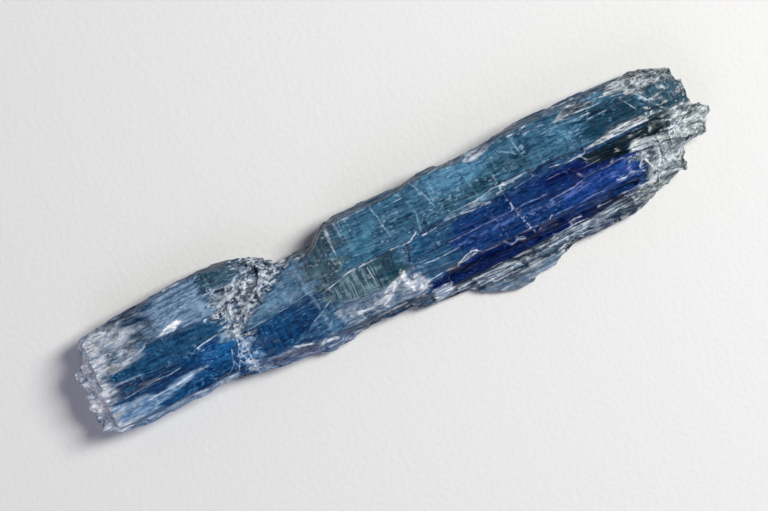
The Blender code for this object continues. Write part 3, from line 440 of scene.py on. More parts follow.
    (0.16, 0.4, [(-0.35, 4.4), (-0.1, 3.2), (0.05, 2.3)]),
    (0.16, 0.3, [(2.4, 4), (2.7, 2.8), (2.5, 1.6)]),
    (0.14, 0.35, [(3.2, 5.1), (3.9, 3.8), (4.2, 3)]),
    (0.12, 0.4, [(11.9, 4.9), (12.1, 4.2), (12.2, 3.7)]),
    (0.1, 0.6, [(16.4, 4.9), (18.5, 4.75), (20.5, 4.8), (21.6, 4.6)]),
    (0.3, -0.5, [(-2.9, 4.5), (-1.6, 4.6)]),
    (0.14, -0.5, [(0.6, 5), (3.5, 4.9), (4.6, 5.05)]),
    (0.1, 0.5, [(-3, 4.8), (-1, 4.85)]),
    (0.5, -0.45, [(5, 0.5), (9, 0.6), (12, 0.5), (15, 0.3)]),
    (0.4, -0.4, [(5.5, -1.5), (9, -1.45), (13, -1.35), (18.5, -1.15)]),
    (0.4, -0.4, [(11, -2.1), (15, -2.1), (18.8, -2)]),
    (0.25, 0.25, [(5, -0.9), (9, -0.8), (13, -0.85)]),
    (0.14, 0.7, [(8.3, -2.3), (8.6, -2.6), (9, -2.5)]),
    (0.14, 0.8, [(9.2, -2.4), (9.5, -2.5)]),
    (0.1, 0.6, [(18, -1), (18.8, -1.15), (19.4, -0.95)]),
    (0.08, 0.5, [(16.2, 0.6), (17.4, 0.65)]),
    (0.08, 0.45, [(13.4, 0.9), (14.6, 0.95)]),
    (0.08, 0.45, [(5.4, 0.5), (6.8, 0.55)]),
    (0.16, 0.6, [(13.2, 4.9), (14.4, 5)]),
    (0.14, 0.3, [(10.9, 4.4), (11.3, 4.2)]),
    (0.14, 0.3, [(9.8, 4.3), (10.3, 4.2)]),
    (0.12, 0.55, [(18.2, 3.9), (19.4, 4)]),
    (0.1, 0.5, [(1, 4.3), (2, 4.35)]),
    (0.12, 0.5, [(6.6, 5), (7.8, 5.1)]),
    (0.3, -0.45, [(9.8, 3.2), (11.5, 3.1)]),
    (0.35, -0.5, [(0.4, 2.7), (1.4, 2.6)]),
    (0.35, -0.4, [(5.2, 2.5), (7.6, 2.6)]),
    (0.4, -0.4, [(13, 2.5), (15.5, 2.6), (18.5, 2.7)]),
    (0.25, 0.3, [(14, -0.9), (17, -0.75), (19.8, -0.7)]),
    (0.5, -0.55, [(-24.4, 1.5), (-23.5, 1.4)]),
    (0.3, -0.5, [(-23.4, 3.5), (-22.8, 3.55)]),
    (0.3, -0.5, [(-21.1, 3.5), (-20.2, 3.7)]),
    (0.4, -0.45, [(-21.8, 4.5), (-20.4, 4.6)]),
    (0.3, -0.45, [(-25.2, 3.9), (-24.6, 4)]),
    (0.1, -0.5, [(-25.4, 2.9), (-23.6, 2.8)]),
    (0.1, -0.5, [(-25.6, 2.2), (-24.4, 2.2), (-23.2, 2)]),
    (0.12, -0.5, [(-25.4, -2.1), (-24.2, -2), (-23, -2.2)]),
]
VEIN_UNIT = 0.05  # a vein's half-width, in the measure that the material reads
VEIN_REACH = 0.45  # millimetres from its middle where a vein has certainly ended
VEIN_WAVER = 0.14  # millimetres that its course strays from side to side

# What deeper and brighter streaks multiply a colour by. The deeper one also gives the sides and low slopes
# their painted shade.
DARKER = (0.2, 0.36, 0.54, 1)
BRIGHTER = (2.5, 2.2, 1.95, 1)

# Splinters that stand at the broken ends, finer than the solid's own: the X of their tips, the way they
# point, their spans in Y and Z, how many, and how uneven they are.
SPLINTERS = {
    "left_end": (-26.6, -1, (-3.2, 3.0), (0.8, 3.7), 12, 0.15),
    "left_roof_end": (-25.5, -1, (2.8, 4.5), (0.8, 3.3), 10, 0.2),
    "roof_end": (25.1, 1, (2.0, 5.4), (0.8, 3.7), 50, 0.6),
    "roof_lip": (23.0, 1, (2.4, 5.6), (3.2, 4.5), 26, 0.9),
    "royal_end": (21.8, 1, (-2.9, 1.0), (2.0, 4.0), 40, 1.0),
    "keel_end": (23.3, 1, (-3.2, -0.4), (0.8, 2.4), 30, 0.7),
    "tongue_end": (26.2, 1, (-0.6, 1.7), (1.0, 2.5), 22, 0.7),
}
SPLINTER_LENGTH = (1.5, 4.0)
SPLINTER_SIDE = (0.4, 1.3)
SPLINTER_SEED = 5

# Small ledges on the blades that are worn to slopes, by their courses in plan.
WORN = [
    [(-17.3, 0.3), (-16.6, -0.4), (-16.1, -1.3)],
    [(-17.0, -2.3), (-16.6, -2.0)],
    [(-7.7, 3.1), (-7.8, 0.5)],
]
WORN_REACH = 1.1  # millimetres from a course to where the wear has ended
WORN_ROUNDS = 40
BLUNT_FROM, BLUNT_TO = -27.0, -27.8  # the tips of the left end, worn blunt by this share in each round
BLUNT_SHARE = 0.35

# The corner broken off beside the notch: where it starts and ends along X, and the break's height in plan at
# its middle and its slope there.
CORNER_START, CORNER_MIDDLE, CORNER_END = -10.6, -9.4, -8.6
CORNER_Y, CORNER_SLOPE = 4.45, 0.65

# The lath pattern: widths, lengths and heights of its laths, coarse to fine.
LATHS = [(1.3, 11.0, 0.12), (0.6, 7.0, 0.075), (0.3, 4.0, 0.045)]
LATH_WAVER, LATH_SLANT = 0.5, 0.8  # how far their sides stray, and how slanted their ends are
STEP = 0.42  # the height of a step on the sides

# Broken grains and flakes: their size along X, Y and Z, and how deep they are set.
GRAINS = [((1.6, 0.9, 0.9), 0.42), ((0.75, 0.4, 0.4), 0.18)]
GRAIN_BEND = 0.4  # how much their borders bend, as a share of their size
FLAKES = [((4.5, 0.5, 0.5), 0.26), ((1.8, 0.26, 0.26), 0.13)]

# The numbers kept on the vertices for the material: four that the zones set, the tone of the lath or grain,
# how near its border is, how far the vertex stands out, and how much painted shade it gets as a side or a low
# slope.
KEPT = ("clear", "frost", "flaky", "hatch", "tone", "border", "bulge", "side")

PAPER_SIDE = 1200  # millimetres
PAPER_TOOTH = 0.45  # millimetres across a grain of it
CLOUDING = 60.0  # how fast the light that goes through fades inside, per metre

# Each lamp's place, width and height in millimetres, its watts and its colour.
LAMPS = {
    "window": ((205, 18, 250), 105, 180, 1.1, "window_light"),
    "reflector": ((-200, -250, 300), 260, 260, 0.24, "reflected_light"),
}


def linear(name):
    """The named colour's sRGB hex as linear RGB."""
    channels = [int(HEX[name][i : i + 2], 16) / 255 for i in (0, 2, 4)]
    return tuple(c / 12.92 if c <= 0.04045 else ((c + 0.055) / 1.055) ** 2.4 for c in channels)


# Numbers that vary over the crystal ------------------------------------------------------------


def hashed(seed, *cells):
    """A repeatable number from 0 to 1 for each cell of a lattice, mixed with large odd numbers."""
    mixed = np.full(cells[0].shape, seed * 1013904223 + 12345, np.uint64)
    for cell, prime in zip(cells, (73856093, 19349663, 83492791)):
        mixed ^= cell.astype(np.int64).astype(np.uint64) * np.uint64(prime)
        mixed *= np.uint64(6364136223846793005)
        mixed ^= mixed >> np.uint64(29)
    return (mixed >> np.uint64(11)).astype(np.float64) / 2**53


def noise(points, size, seed):
    """Smooth noise from 0 to 1 on a lattice whose cells have this size in millimetres along each axis."""
    at = points / np.array(size)
    cell = np.floor(at)
    share = at - cell
    share = share * share * (3 - 2 * share)
    total = np.zeros(len(points))
    for step in itertools.product((0, 1), repeat=3):
        weight = np.prod(np.where(step, share, 1 - share), axis=1)
        total += weight * hashed(seed, *(cell + step).T)
    return total


def grains(points, size, seed):
    """The grain round each point: a number for it, the way from its middle, and how near its border is."""
    at = points / np.array(size)
    first, second = np.full(len(points), FAR), np.full(len(points), FAR)
    number, offset = np.zeros(len(points)), np.zeros_like(points)
    bend = np.stack([noise(at, (0.9, 0.9, 0.9), seed + 5 + k) - 0.5 for k in range(3)], axis=1)
    at = at + GRAIN_BEND * bend
    cell = np.floor(at)
    for step in itertools.product((-1, 0, 1), repeat=3):
        other = (cell + step).T
        middle = np.stack([other[k] + hashed(seed + k, *other) for k in range(3)], axis=1)
        away = at - middle
        distance = np.linalg.norm(away, axis=1)
        closer = distance < first
        second = np.where(closer, first, np.minimum(second, distance))
        first = np.where(closer, distance, first)
        number = np.where(closer, hashed(seed + 3, *other), number)
        offset = np.where(closer[:, None], away, offset)
    return number, offset, second - first


def smooth(low, high, value):
    """0 under low, 1 over high, and an S-curve between."""
    t = np.clip((value - low) / (high - low), 0, 1)
    return t * t * (3 - 2 * t)


def nearest_on(course, points):
    """How far each point is, in plan, from a line through the course's points, and on which side of it."""
    nearest, side = np.full(len(points), np.inf), np.zeros(len(points))
    for start, end in zip(course, course[1:]):
        start, along = np.array(start), np.subtract(end, start)
        away = points - start
        t = np.clip(away @ along / (along @ along), 0, 1)
        distance = np.linalg.norm(away - t[:, None] * along, axis=1)
        closer = distance < nearest
        nearest = np.where(closer, distance, nearest)
        across = (along[0] * away[:, 1] - along[1] * away[:, 0]) / math.hypot(*along)
        side = np.where(closer, across, side)
    return nearest, side


def depth_inside(outline, points):
    """How far each point is inside an outline, in plan, or outside it as a negative number."""
    inside = np.zeros(len(points), bool)
    for (x0, y0), (x1, y1) in zip(outline, outline[1:] + outline[:1]):
        spans = (y0 > points[:, 1]) != (y1 > points[:, 1])
        if y0 != y1:
            inside ^= spans & (points[:, 0] < (x1 - x0) * (points[:, 1] - y0) / (y1 - y0) + x0)
    distance = nearest_on(outline + outline[:1], points)[0]
    return np.where(inside, distance, -distance)


def ragged(points):
    """Uneven shifts in plan, mostly lengthwise, that make an outline splintery."""
    wide = noise(points, (2.5, 0.5, 2.0), 31) - 0.5
    fine = noise(points, (0.8, 0.16, 0.6), 32) - 0.5
    side = noise(points, (1.2, 0.5, 1.0), 33) - 0.5
    return np.stack([2.4 * wide + 1.6 * fine, 0.6 * side], axis=1)


# The fine mesh ---------------------------------------------------------------------------------


def add_bar(bm, start, end, across, up, taper):
    """Adds a closed four-sided bar; across and up are its half-width and half-height as vectors."""
    rings = []
    for point, scale in ((start, 1.0), (end, taper)):
        corners = (-across - up, across - up, across + up, up - across)
        rings.append([bm.verts.new((point + corner * scale) * MM) for corner in corners])
    for i in range(4):
        j = (i + 1) % 4
        bm.faces.new((rings[0][i], rings[0][j], rings[1][j], rings[1][i]))
    bm.faces.new(rings[0][::-1])
    bm.faces.new(rings[1])


def add_splinters(bm):
    """Adds the bars in SPLINTERS, each tilted and tapered at random."""
    rng = random.Random(SPLINTER_SEED)
    for tip, way, (y_low, y_high), (z_low, z_high), count, uneven in SPLINTERS.values():
        for _ in range(count):
            half = rng.uniform(*SPLINTER_SIDE) / 2
            y, z = rng.uniform(y_low, y_high), rng.uniform(z_low, z_high)
            x = tip + way * rng.uniform(-uneven, uneven)
            start = Vector((x - way * rng.uniform(*SPLINTER_LENGTH), y + rng.uniform(-0.3, 0.3), z - 0.15))
            across = Vector((way * rng.uniform(-0.7, 0.7) * half, half, rng.uniform(-0.3, 0.3) * half))
            up = Vector((way * rng.uniform(-1.0, 0.3) * half, 0, half * rng.uniform(0.4, 0.9)))
            add_bar(bm, start, Vector((x, y, z)), across, up, rng.uniform(0.6, 1.0))


def break_corner(bm):
    """Cuts the corner beside the notch back to a slanting break."""
    for vert in bm.verts:
        x = vert.co.x / MM
        if CORNER_START < x < CORNER_END:
            vert.co.y = min(vert.co.y, (CORNER_Y + CORNER_SLOPE * (CORNER_MIDDLE - x)) * MM)


def voxel_copy(source):
    """A closed, even mesh of the solid and its splinters, as a new object."""
    bm = bmesh.new()
    bm.from_mesh(source.data)
    bmesh.ops.remove_doubles(bm, verts=bm.verts, dist=1e-6)
    add_splinters(bm)
    break_corner(bm)
    bmesh.ops.recalc_face_normals(bm, faces=bm.faces)
    mesh = bpy.data.meshes.new("kyanite_blades")
    bm.to_mesh(mesh)
    bm.free()
    squeeze = np.array([1 / LENGTHWISE, 1, 1]) / MM
    set_places(mesh, places_of(mesh) * squeeze)
    piece = bpy.data.objects.new("kyanite_blades", mesh)
    bpy.context.scene.collection.objects.link(piece)
    remesh = piece.modifiers.new("fine", "REMESH")
    remesh.mode = "VOXEL"
    remesh.voxel_size = VOXEL
    graph = bpy.context.evaluated_depsgraph_get()
    fine = bpy.data.meshes.new_from_object(piece.evaluated_get(graph))
    piece.modifiers.clear()
    piece.data = fine
    fine.name = "kyanite_blades"
    set_places(fine, places_of(fine) / squeeze)
    drop_crumbs(fine)
    return piece


def drop_crumbs(mesh):
    """Removes the crumbs that the remesh leaves beside the crystal."""
    bm = bmesh.new()
    bm.from_mesh(mesh)
    left = set(bm.verts)
    while left:
        shell = [left.pop()]
        for vert in shell:
            near = {edge.other_vert(vert) for edge in vert.link_edges} & left
            left -= near
            shell.extend(near)
        if len(shell) < len(bm.verts) / 2:
            bmesh.ops.delete(bm, geom=shell, context="VERTS")
    bm.to_mesh(mesh)
    bm.free()


def vectors(items, field):
    """The vectors in a field of these items, a row for each."""
    values = np.empty(len(items) * 3, np.float32)
    items.foreach_get(field, values)
    return values.reshape(-1, 3).astype(np.float64)


def places_of(mesh):
    return vectors(mesh.vertices, "co")


def normals_of(mesh):
    return vectors(mesh.vertex_normals, "vector")


def set_places(mesh, places):
    mesh.vertices.foreach_set("co", places.astype(np.float32).ravel())
    mesh.update()


def neighbours_mean(mesh, values):
    """The mean of each vertex's neighbours' values."""
    ends = np.empty(len(mesh.edges) * 2, np.int32)
    mesh.edges.foreach_get("vertices", ends)
    ends = ends.reshape(-1, 2)
    total, count = np.zeros_like(values), np.zeros(len(values))
    for a, b in ((0, 1), (1, 0)):
        np.add.at(total, ends[:, a], values[ends[:, b]])
        np.add.at(count, ends[:, a], 1)
    return total / (count[:, None] if values.ndim > 1 else count)


def wear_down(mesh):
    """Wears the ledges in WORN down to gentle slopes, and the tips of the left end blunt."""
    points = places_of(mesh)
    upper = smooth(0.1, 0.4, normals_of(mesh)[:, 2]) * smooth(1.5, 2.5, points[:, 2] / MM)
    share = np.zeros(len(points))
    for course in WORN:
        distance = nearest_on(course, points[:, :2] / MM)[0]
        share = np.maximum(share, upper * smooth(WORN_REACH, 0.5 * WORN_REACH, distance))
    blunt = smooth(BLUNT_FROM, BLUNT_TO, points[:, 0] / MM) * smooth(0.3, 0.9, points[:, 2] / MM)
    share = np.maximum(share, BLUNT_SHARE * blunt)
    for _ in range(WORN_ROUNDS):
        points += share[:, None] * (neighbours_mean(mesh, points) - points)
    set_places(mesh, points)


def laths(points, across, seed):
    """Long thin laths: how deep each point lies under its face, in millimetres, and its lath's tone."""
    depth, tone = np.zeros(len(points)), np.zeros(len(points))
    waver = noise(points, (9, 2.5, 2.5), seed) + 0.4 * noise(points, (3, 1.2, 1.2), seed + 1)
    for k, (width, length, height) in enumerate(LATHS):
        lane_at = (across + LATH_WAVER * waver) / width
        lane = np.floor(lane_at)
        slant = LATH_SLANT * (lane_at - lane) * width
        along = np.floor((points[:, 0] + slant) / length + hashed(seed + 10 * k, lane))
        depth += height * hashed(seed + 10 * k + 1, lane, along)
        tone += hashed(seed + 10 * k + 2, lane, along) / len(LATHS)
    return depth, tone


def shattered(points, layers, seed):
    """Tilted grains in several sizes: depth under the face, the grains' tone, and how near a border is."""
    depth, tone, border = np.zeros(len(points)), np.zeros(len(points)), np.full(len(points), FAR)
    for k, (size, height) in enumerate(layers):
        number, offset, gap = grains(points, size, seed + 10 * k)
        tilt = np.sin(number[:, None] * (917.0, 523.0, 311.0))
        depth += height * np.clip(0.5 * number + 0.55 * (tilt * offset).sum(axis=1) + 0.25, 0, 1.2)
        tone += number / len(layers)
        border = np.minimum(border, gap * size[1])
    return depth, tone, border


def carve(mesh):
    """Cuts laths, steps, flakes and grains into the faces. Gives each vertex's tone and its
    distance from a border between grains.
    """
    points, normals = places_of(mesh) / MM, normals_of(mesh)
    frost, flaky = zone_values(points, normals)[3:5]
    level = smooth(0.35, 0.65, np.abs(normals[:, 2]))

    # Steps down the sides.
    lane = points[:, 2] / STEP + 0.9 * noise(points, (7, 1.5, 9), 41) + 0.3 * noise(points, (1.5, 0.6, 9), 42)
    rise = lane - np.floor(lane)
    strength = hashed(43, np.floor(lane), np.floor(points[:, 0] / 6 + hashed(44, np.floor(lane))))
    sideways = smooth(0.1, 0.35, 1 - np.abs(normals[:, 2])) * (normals[:, 2] > -0.2)
    drop = STEP * (rise - rise**4) * (0.3 + 0.6 * strength) * sideways * (1 - 0.7 * frost)

    # Laths, along the level faces and along the sides, then flakes and grains over them.
    top_depth, top_tone = laths(points, points[:, 1], 130)
    side_depth, side_tone = laths(points, points[:, 2] * 1.3 + 40, 200)
    depth, tone = level * top_depth + (1 - level) * side_depth, level * top_tone + (1 - level) * side_tone
    border = np.full(len(points), FAR)
    for share, layers, seed in ((flaky, FLAKES, 300), (frost, GRAINS, 400)):
        new_depth, new_tone, new_border = shattered(points, layers, seed)
        depth += share * (new_depth - 0.5 * depth)
        tone += smooth(0.1, 0.6, share) * (new_tone - tone)
        border = np.where(share > 0.25, new_border, border)

    off_seat = smooth(0.0, SEAT_BAND, points[:, 2])
    points -= normals * (depth * off_seat)[:, None]
    points[:, 2] -= drop * off_seat * np.minimum(1, points[:, 2])
    set_places(mesh, points * MM)
    return tone, border


def store(mesh, name, values, kind="FLOAT"):
    """Keeps one number or colour per vertex on the mesh, for the material to read."""
    layer = mesh.attributes.new(name, kind, "POINT")
    if kind == "FLOAT_COLOR":
        values = np.c_[values, np.ones(len(values))]
    field = {"FLOAT": "value", "FLOAT_COLOR": "color", "FLOAT_VECTOR": "vector"}[kind]
    layer.data.foreach_set(field, values.astype(np.float32).ravel())


def from_above(points, normals):
    """1 on faces that can be seen from above and on the rims, and 0 down the sides."""
    return np.maximum(smooth(0.1, 0.4, normals[:, 2]), smooth(RIM_FROM, RIM_TO, points[:, 2]))


def zone_values(points, normals):
    """Body colour, pale colour, clearness, frosting, flakiness and hatching at each point."""
    shift = ragged(points)
    shown = from_above(points, normals)
    values = None
    for name, zone in {"blades": BLADES, **ZONES}.items():
        new = np.array([*linear(zone.body), *linear(zone.pale), *zone[3:7]])
        if values is None:
            values = np.tile(new, (len(points), 1))
            continue
        where = points[:, :2] + min(1.0, zone.soft / 0.3) * shift
        share = smooth(-zone.soft, zone.soft, depth_inside(zone.outline, where))
        if name in SHALLOW:
            share *= shown
        values += share[:, None] * (new - values)
    return values[:, :3], values[:, 3:6], *values[:, 6:].T


def vein_values(points, normals):
    """How far each point is from the nearest vein's middle, by side and in all, and the vein's whiteness."""
    nearest, side = np.full(len(points), FAR), np.full(len(points), FAR)
    white = np.zeros(len(points))
    waver = np.stack([noise(points, (1.0, 1.0, 2), seed) - 0.5 for seed in (51, 52)], axis=1)
    where = points[:, :2] + VEIN_WAVER * waver
    for width, whiteness, course in VEINS:
        distance, across = nearest_on(course, where)
        closer = distance < nearest
        nearest = np.where(closer, distance, nearest)
        side = np.where(closer, across * 2 * VEIN_UNIT / width, side)
        white = np.where(closer, whiteness, white)
    return np.stack([side, nearest, white * from_above(points, normals)], axis=1)


def crystal(source):
    """The fine crystal, with all that its material reads."""
    piece = voxel_copy(source)
    mesh = piece.data
    wear_down(mesh)
    tone, border = carve(mesh)
    points, normals = places_of(mesh), normals_of(mesh)
    bulge = ((points - neighbours_mean(mesh, points)) * normals).sum(axis=1) / MM
    bulge = 0.5 * bulge + 0.5 * neighbours_mean(mesh, bulge)
    points = points / MM
    body, pale, clear, frost, flaky, hatch = zone_values(points, normals)
    # The sides, and the slopes that lie low by the table, get painted shade: their colour is darkened as
    # though shade fell there.
    low = smooth(0.7, 0.2, points[:, 2]) * smooth(0.9, 0.6, np.abs(normals[:, 2]))
    side = np.maximum(smooth(0.5, 0.9, np.abs(normals[:, 1])), low) * (1 - 0.8 * frost)
    store(mesh, "body", body, "FLOAT_COLOR")
    store(mesh, "pale", pale, "FLOAT_COLOR")
    store(mesh, "vein", vein_values(points, normals), "FLOAT_VECTOR")
    for name, values in zip(KEPT, (clear, frost, flaky, hatch, tone, border, bulge, side)):
        store(mesh, name, values)
    mesh.shade_smooth()
    mesh.set_sharp_from_angle(angle=SHARP_ANGLE)
    return piece


# Materials -------------------------------------------------------------------------------------


def add(tree, kind, inputs=None, out=0, **properties):
    """Adds a shader node, sets its properties, and sets or links its inputs. Gives the output asked for."""
    node = tree.nodes.new("ShaderNode" + kind)
    for name, value in properties.items():
        setattr(node, name, value)
    for key, value in (inputs or {}).items():
        if isinstance(value, bpy.types.NodeSocket):
            tree.links.new(value, node.inputs[key])
        else:
            node.inputs[key].default_value = value
    return node.outputs[out]


def new_material(name):
    """An empty material, as itself, its tree and its shader."""
    material = bpy.data.materials.new(name)
    material.use_nodes = True
    return material, material.node_tree, material.node_tree.nodes["Principled BSDF"]


def kyanite():
    """Kyanite: clear, cleaved blades. Glassy across, pearly along the cleavage, with white veins and ends.

    Its real cleavage lines are mostly finer than a tenth of a millimetre, which is too fine to show. So the
    finest lines here are drawn 0.12 to 0.2 millimetres wide.
    """
    material, tree, shader = new_material("cleaved_kyanite")
    node = partial(add, tree)
    place = node("TexCoord", out="Object")

    def grey(length, width, seed, detail=2.0):
        """Noise about 0.5, in patches this long and wide in millimetres."""
        scale = (1 / (length * MM), 1 / (width * MM), 1 / (width * MM))
        shift = (7.3 * seed, 3.1 * seed, 5.7 * seed)
        at = node("Mapping", {"Vector": place, "Scale": scale, "Location": shift})
        return node("TexNoise", {"Vector": at, "Scale": 1.0, "Detail": detail})

    def marks(length, width, seed, low, high, detail=2.0):
        """Marks this long and wide: 0 where the noise is under low, 1 where it is over high."""
        return node("MapRange", {0: grey(length, width, seed, detail), 1: low, 2: high})

    def cracks(length, width, seed, half):
        """Thin curved lines, where the noise is within half of its middle value."""
        return node("Math", {0: grey(length, width, seed, 1.0), 1: 0.5, 2: half}, operation="COMPARE")

    def shards(length, width, seed, feature, out):
        """Broken shards this long and wide: a number for each of them, or how near its border is."""
        scale = (1 / (length * MM), 1 / (width * MM), 1 / (width * MM))
        at = node("Mapping", {"Vector": place, "Scale": scale, "Location": (seed, seed, seed)})
        bend = node("TexNoise", {"Vector": at, "Scale": 1.6, "Detail": 3.0}, out="Color")
        at = node("VectorMath", {0: bend, 1: (0.9, 0.9, 0.9), 2: at}, operation="MULTIPLY_ADD")
        return node("TexVoronoi", {"Vector": at, "Scale": 1.0}, out=out, feature=feature)

    def laid(under, over, *shares):
        """Lays one colour over another by the product of the shares.

        A share (a, b, c) is 0 where a is b, and 1 where a is c.
        """
        product = None
        for share in shares:
            if isinstance(share, tuple):
                share = node("MapRange", {0: share[0], 1: share[1], 2: share[2]})
            if product is not None:
                share = node("Math", {0: product, 1: share}, operation="MULTIPLY")
            product = share
        over = (*linear(over), 1.0) if isinstance(over, str) else over
        return node("Mix", {0: product, 6: under, 7: over}, out=2, data_type="RGBA")

    body = node("Attribute", out="Color", attribute_name="body")
    pale = node("Attribute", out="Color", attribute_name="pale")
    clear, frost, flaky, hatch, tone, border, bulge, side = (
        node("Attribute", out="Fac", attribute_name=name) for name in KEPT
    )
    dark, bright = (
        node("Mix", {0: 1.0, 6: body, 7: by}, out=2, data_type="RGBA", blend_type="MULTIPLY")
        for by in (DARKER, BRIGHTER)
    )
    bright = laid(bright, pale, 0.15)

    # Depth and cleavage: darker and brighter streaks along the blades, broad to fine, and the laths' tones.
    colour = laid(body, dark, marks(6.0, 1.0, 1, 0.42, 0.62, 3), 0.65)
    colour = laid(colour, bright, marks(3.0, 1.1, 2, 0.48, 0.66, 3), 0.85)
    colour = laid(colour, dark, marks(1.5, 0.6, 30, 0.46, 0.62, 5), 0.85)
    colour = laid(colour, bright, marks(1.2, 0.45, 21, 0.5, 0.66, 5), 1.0)
    colour = laid(colour, dark, marks(0.6, 0.2, 15, 0.46, 0.64, 5), 0.8)
    colour = laid(colour, bright, marks(0.5, 0.16, 31, 0.5, 0.66, 5), 1.0)
    colour = laid(colour, dark, (tone, 0.5, 0.15), 0.3)
    colour = laid(colour, bright, (tone, 0.55, 0.9), 0.3)
    streaky = node("MapRange", {0: flaky, 3: 0.4})
    colour = laid(colour, dark, streaky, marks(4.5, 0.22, 3, 0.48, 0.62, 3), 0.8)
    colour = laid(colour, bright, streaky, marks(4.0, 0.2, 4, 0.5, 0.63, 3), 0.9)
    colour = laid(colour, pale, streaky, marks(3.0, 0.15, 5, 0.6, 0.68, 3), 0.9)
    # Crosswise lines of the parting, like a comb where they are strongest, and flecks in clusters.
    colour = laid(colour, bright, hatch, marks(0.45, 3.0, 17, 0.48, 0.66), 0.8)
    colour = laid(colour, dark, hatch, marks(0.3, 2.4, 22, 0.46, 0.64), 0.7)
    colour = laid(colour, pale, hatch, marks(0.2, 2.0, 6, 0.52, 0.66), marks(1.4, 1.0, 7, 0.44, 0.62), 0.6)
    combed = node("MapRange", {0: hatch, 1: 0.4, 2: 0.7})
    colour = laid(colour, dark, combed, marks(0.26, 2.4, 41, 0.5, 0.57, 3), 0.9)
    colour = laid(colour, bright, combed, marks(0.22, 2.2, 42, 0.53, 0.6, 3), 0.9)
    clustered = marks(1.8, 1.0, 24, 0.47, 0.6)
    colour = laid(colour, pale, clustered, marks(0.4, 0.2, 8, 0.57, 0.63), 0.85)

    # Flakes: long and thin, some dark and some pale, with dark gaps, white streaks and fine slivers.
    split = node("MapRange", {0: flaky, 1: 0.15, 2: 0.75})
    flake = shards(3.0, 0.5, 9, "F1", "Color")
    flake_edge = shards(3.0, 0.5, 9, "DISTANCE_TO_EDGE", "Distance")
    colour = laid(colour, dark, split, (flake, 0.5, 0.36), 0.85)
    colour = laid(colour, pale, split, (flake, 0.56, 0.76), 0.75)
    colour = laid(colour, "crevice", split, marks(2.4, 0.32, 26, 0.5, 0.54), 0.95)
    colour = laid(colour, "crevice", split, (flake_edge, 0.14, 0.05), 0.75)
    colour = laid(colour, "white", split, marks(1.8, 0.32, 29, 0.565, 0.6), 0.95)
    sliver = shards(1.1, 0.18, 35, "F1", "Color")
    colour = laid(colour, "crevice", split, (sliver, 0.42, 0.3), 0.7)
    colour = laid(colour, "white", split, (sliver, 0.66, 0.78), 0.6)
    # Crushed parts: shards in two sizes, some dark and some pale, with white edges.
    crushed = node("MapRange", {0: frost, 1: 0.08, 2: 0.8})
    grain = grey(0.55, 0.35, 12, 3)
    shard = shards(1.1, 0.55, 11, "F1", "Color")
    shard_edge = shards(1.1, 0.55, 11, "DISTANCE_TO_EDGE", "Distance")
    grit = shards(0.4, 0.2, 28, "F1", "Color")
    colour = laid(colour, "crevice", crushed, (shard, 0.46, 0.3), 0.7)
    colour = laid(colour, pale, crushed, (shard, 0.5, 0.75), 0.7)
    colour = laid(colour, "crevice", crushed, (grit, 0.4, 0.28), 0.6)
    colour = laid(colour, "white", crushed, (grit, 0.64, 0.76), 0.6)
    colour = laid(colour, "white", crushed, (shard_edge, 0.12, 0.05), marks(1.0, 0.8, 13, 0.44, 0.54), 0.85)
    colour = laid(colour, pale, crushed, cracks(1.5, 0.9, 32, 0.02), 0.4)
    colour = laid(colour, dark, (border, 0.07, 0.01), 0.5)

    # The sides and low slopes are darkened as painted shade, and the standing-out edges of split and crushed
    # parts are
    # paler: partly frosted wear, partly a painted highlight where the edges catch the light.
    colour = laid(colour, dark, side, 0.85)
    edge_wear_and_highlight = node("Math", {0: crushed, 1: split}, operation="MAXIMUM")
    colour = laid(colour, pale, edge_wear_and_highlight, (bulge, 0.012, 0.04), 0.7)

    # Veins: crisp lines, pale or dark and uneven along their length.
    vein_at = node("Attribute", out="Vector", attribute_name="vein")
    across = node("SeparateXYZ", {0: vein_at}, out="X")
    across = node("Math", {0: across}, operation="ABSOLUTE")
    across = node("Math", {0: grey(0.35, 0.2, 19), 1: 0.16, 2: across}, operation="MULTIPLY_ADD")
    line = node("MapRange", {0: across, 1: 0.16, 2: 0.07})
    near = node("SeparateXYZ", {0: vein_at}, out="Y")
    near = node("MapRange", {0: near, 1: VEIN_REACH, 2: 0.2})
    broken = node("MapRange", {0: grey(0.9, 0.9, 20, 1), 1: 0.36, 2: 0.56, 3: 0.12})
    white = node("SeparateXYZ", {0: vein_at}, out="Z")
    vein = node("Math", {0: line, 1: near}, operation="MULTIPLY")
    vein = node("Math", {0: vein, 1: broken}, operation="MULTIPLY")
    shade = node("Math", {0: white, 1: -1.0}, operation="MULTIPLY", use_clamp=True)
    white = node("Math", {0: white, 1: 1.0}, operation="MULTIPLY", use_clamp=True)
    colour = laid(colour, "crevice", vein, shade)
    colour = laid(colour, pale, vein, white)
    colour = laid(colour, "white", vein, white, white)
    tree.links.new(colour, shader.inputs["Base Color"])

    # Veins and crushed parts scatter the light, and the rest lets a share of it through.
    solid = node("Math", {0: frost, 1: 0.6}, operation="MULTIPLY")
    solid = node("Math", {0: vein, 1: solid}, operation="MAXIMUM")
    through = node("Math", {0: 1.0, 1: solid}, operation="SUBTRACT")
    through = node("Math", {0: clear, 1: through}, operation="MULTIPLY")
    tree.links.new(through, shader.inputs["Transmission Weight"])
    rough = node("MapRange", {0: grey(2.0, 0.3, 18), 1: 0.3, 2: 0.7, 3: 0.12, 4: 0.26})
    rough = node("Math", {0: frost, 1: 0.3, 2: rough}, operation="MULTIPLY_ADD")
    tree.links.new(rough, shader.inputs["Roughness"])

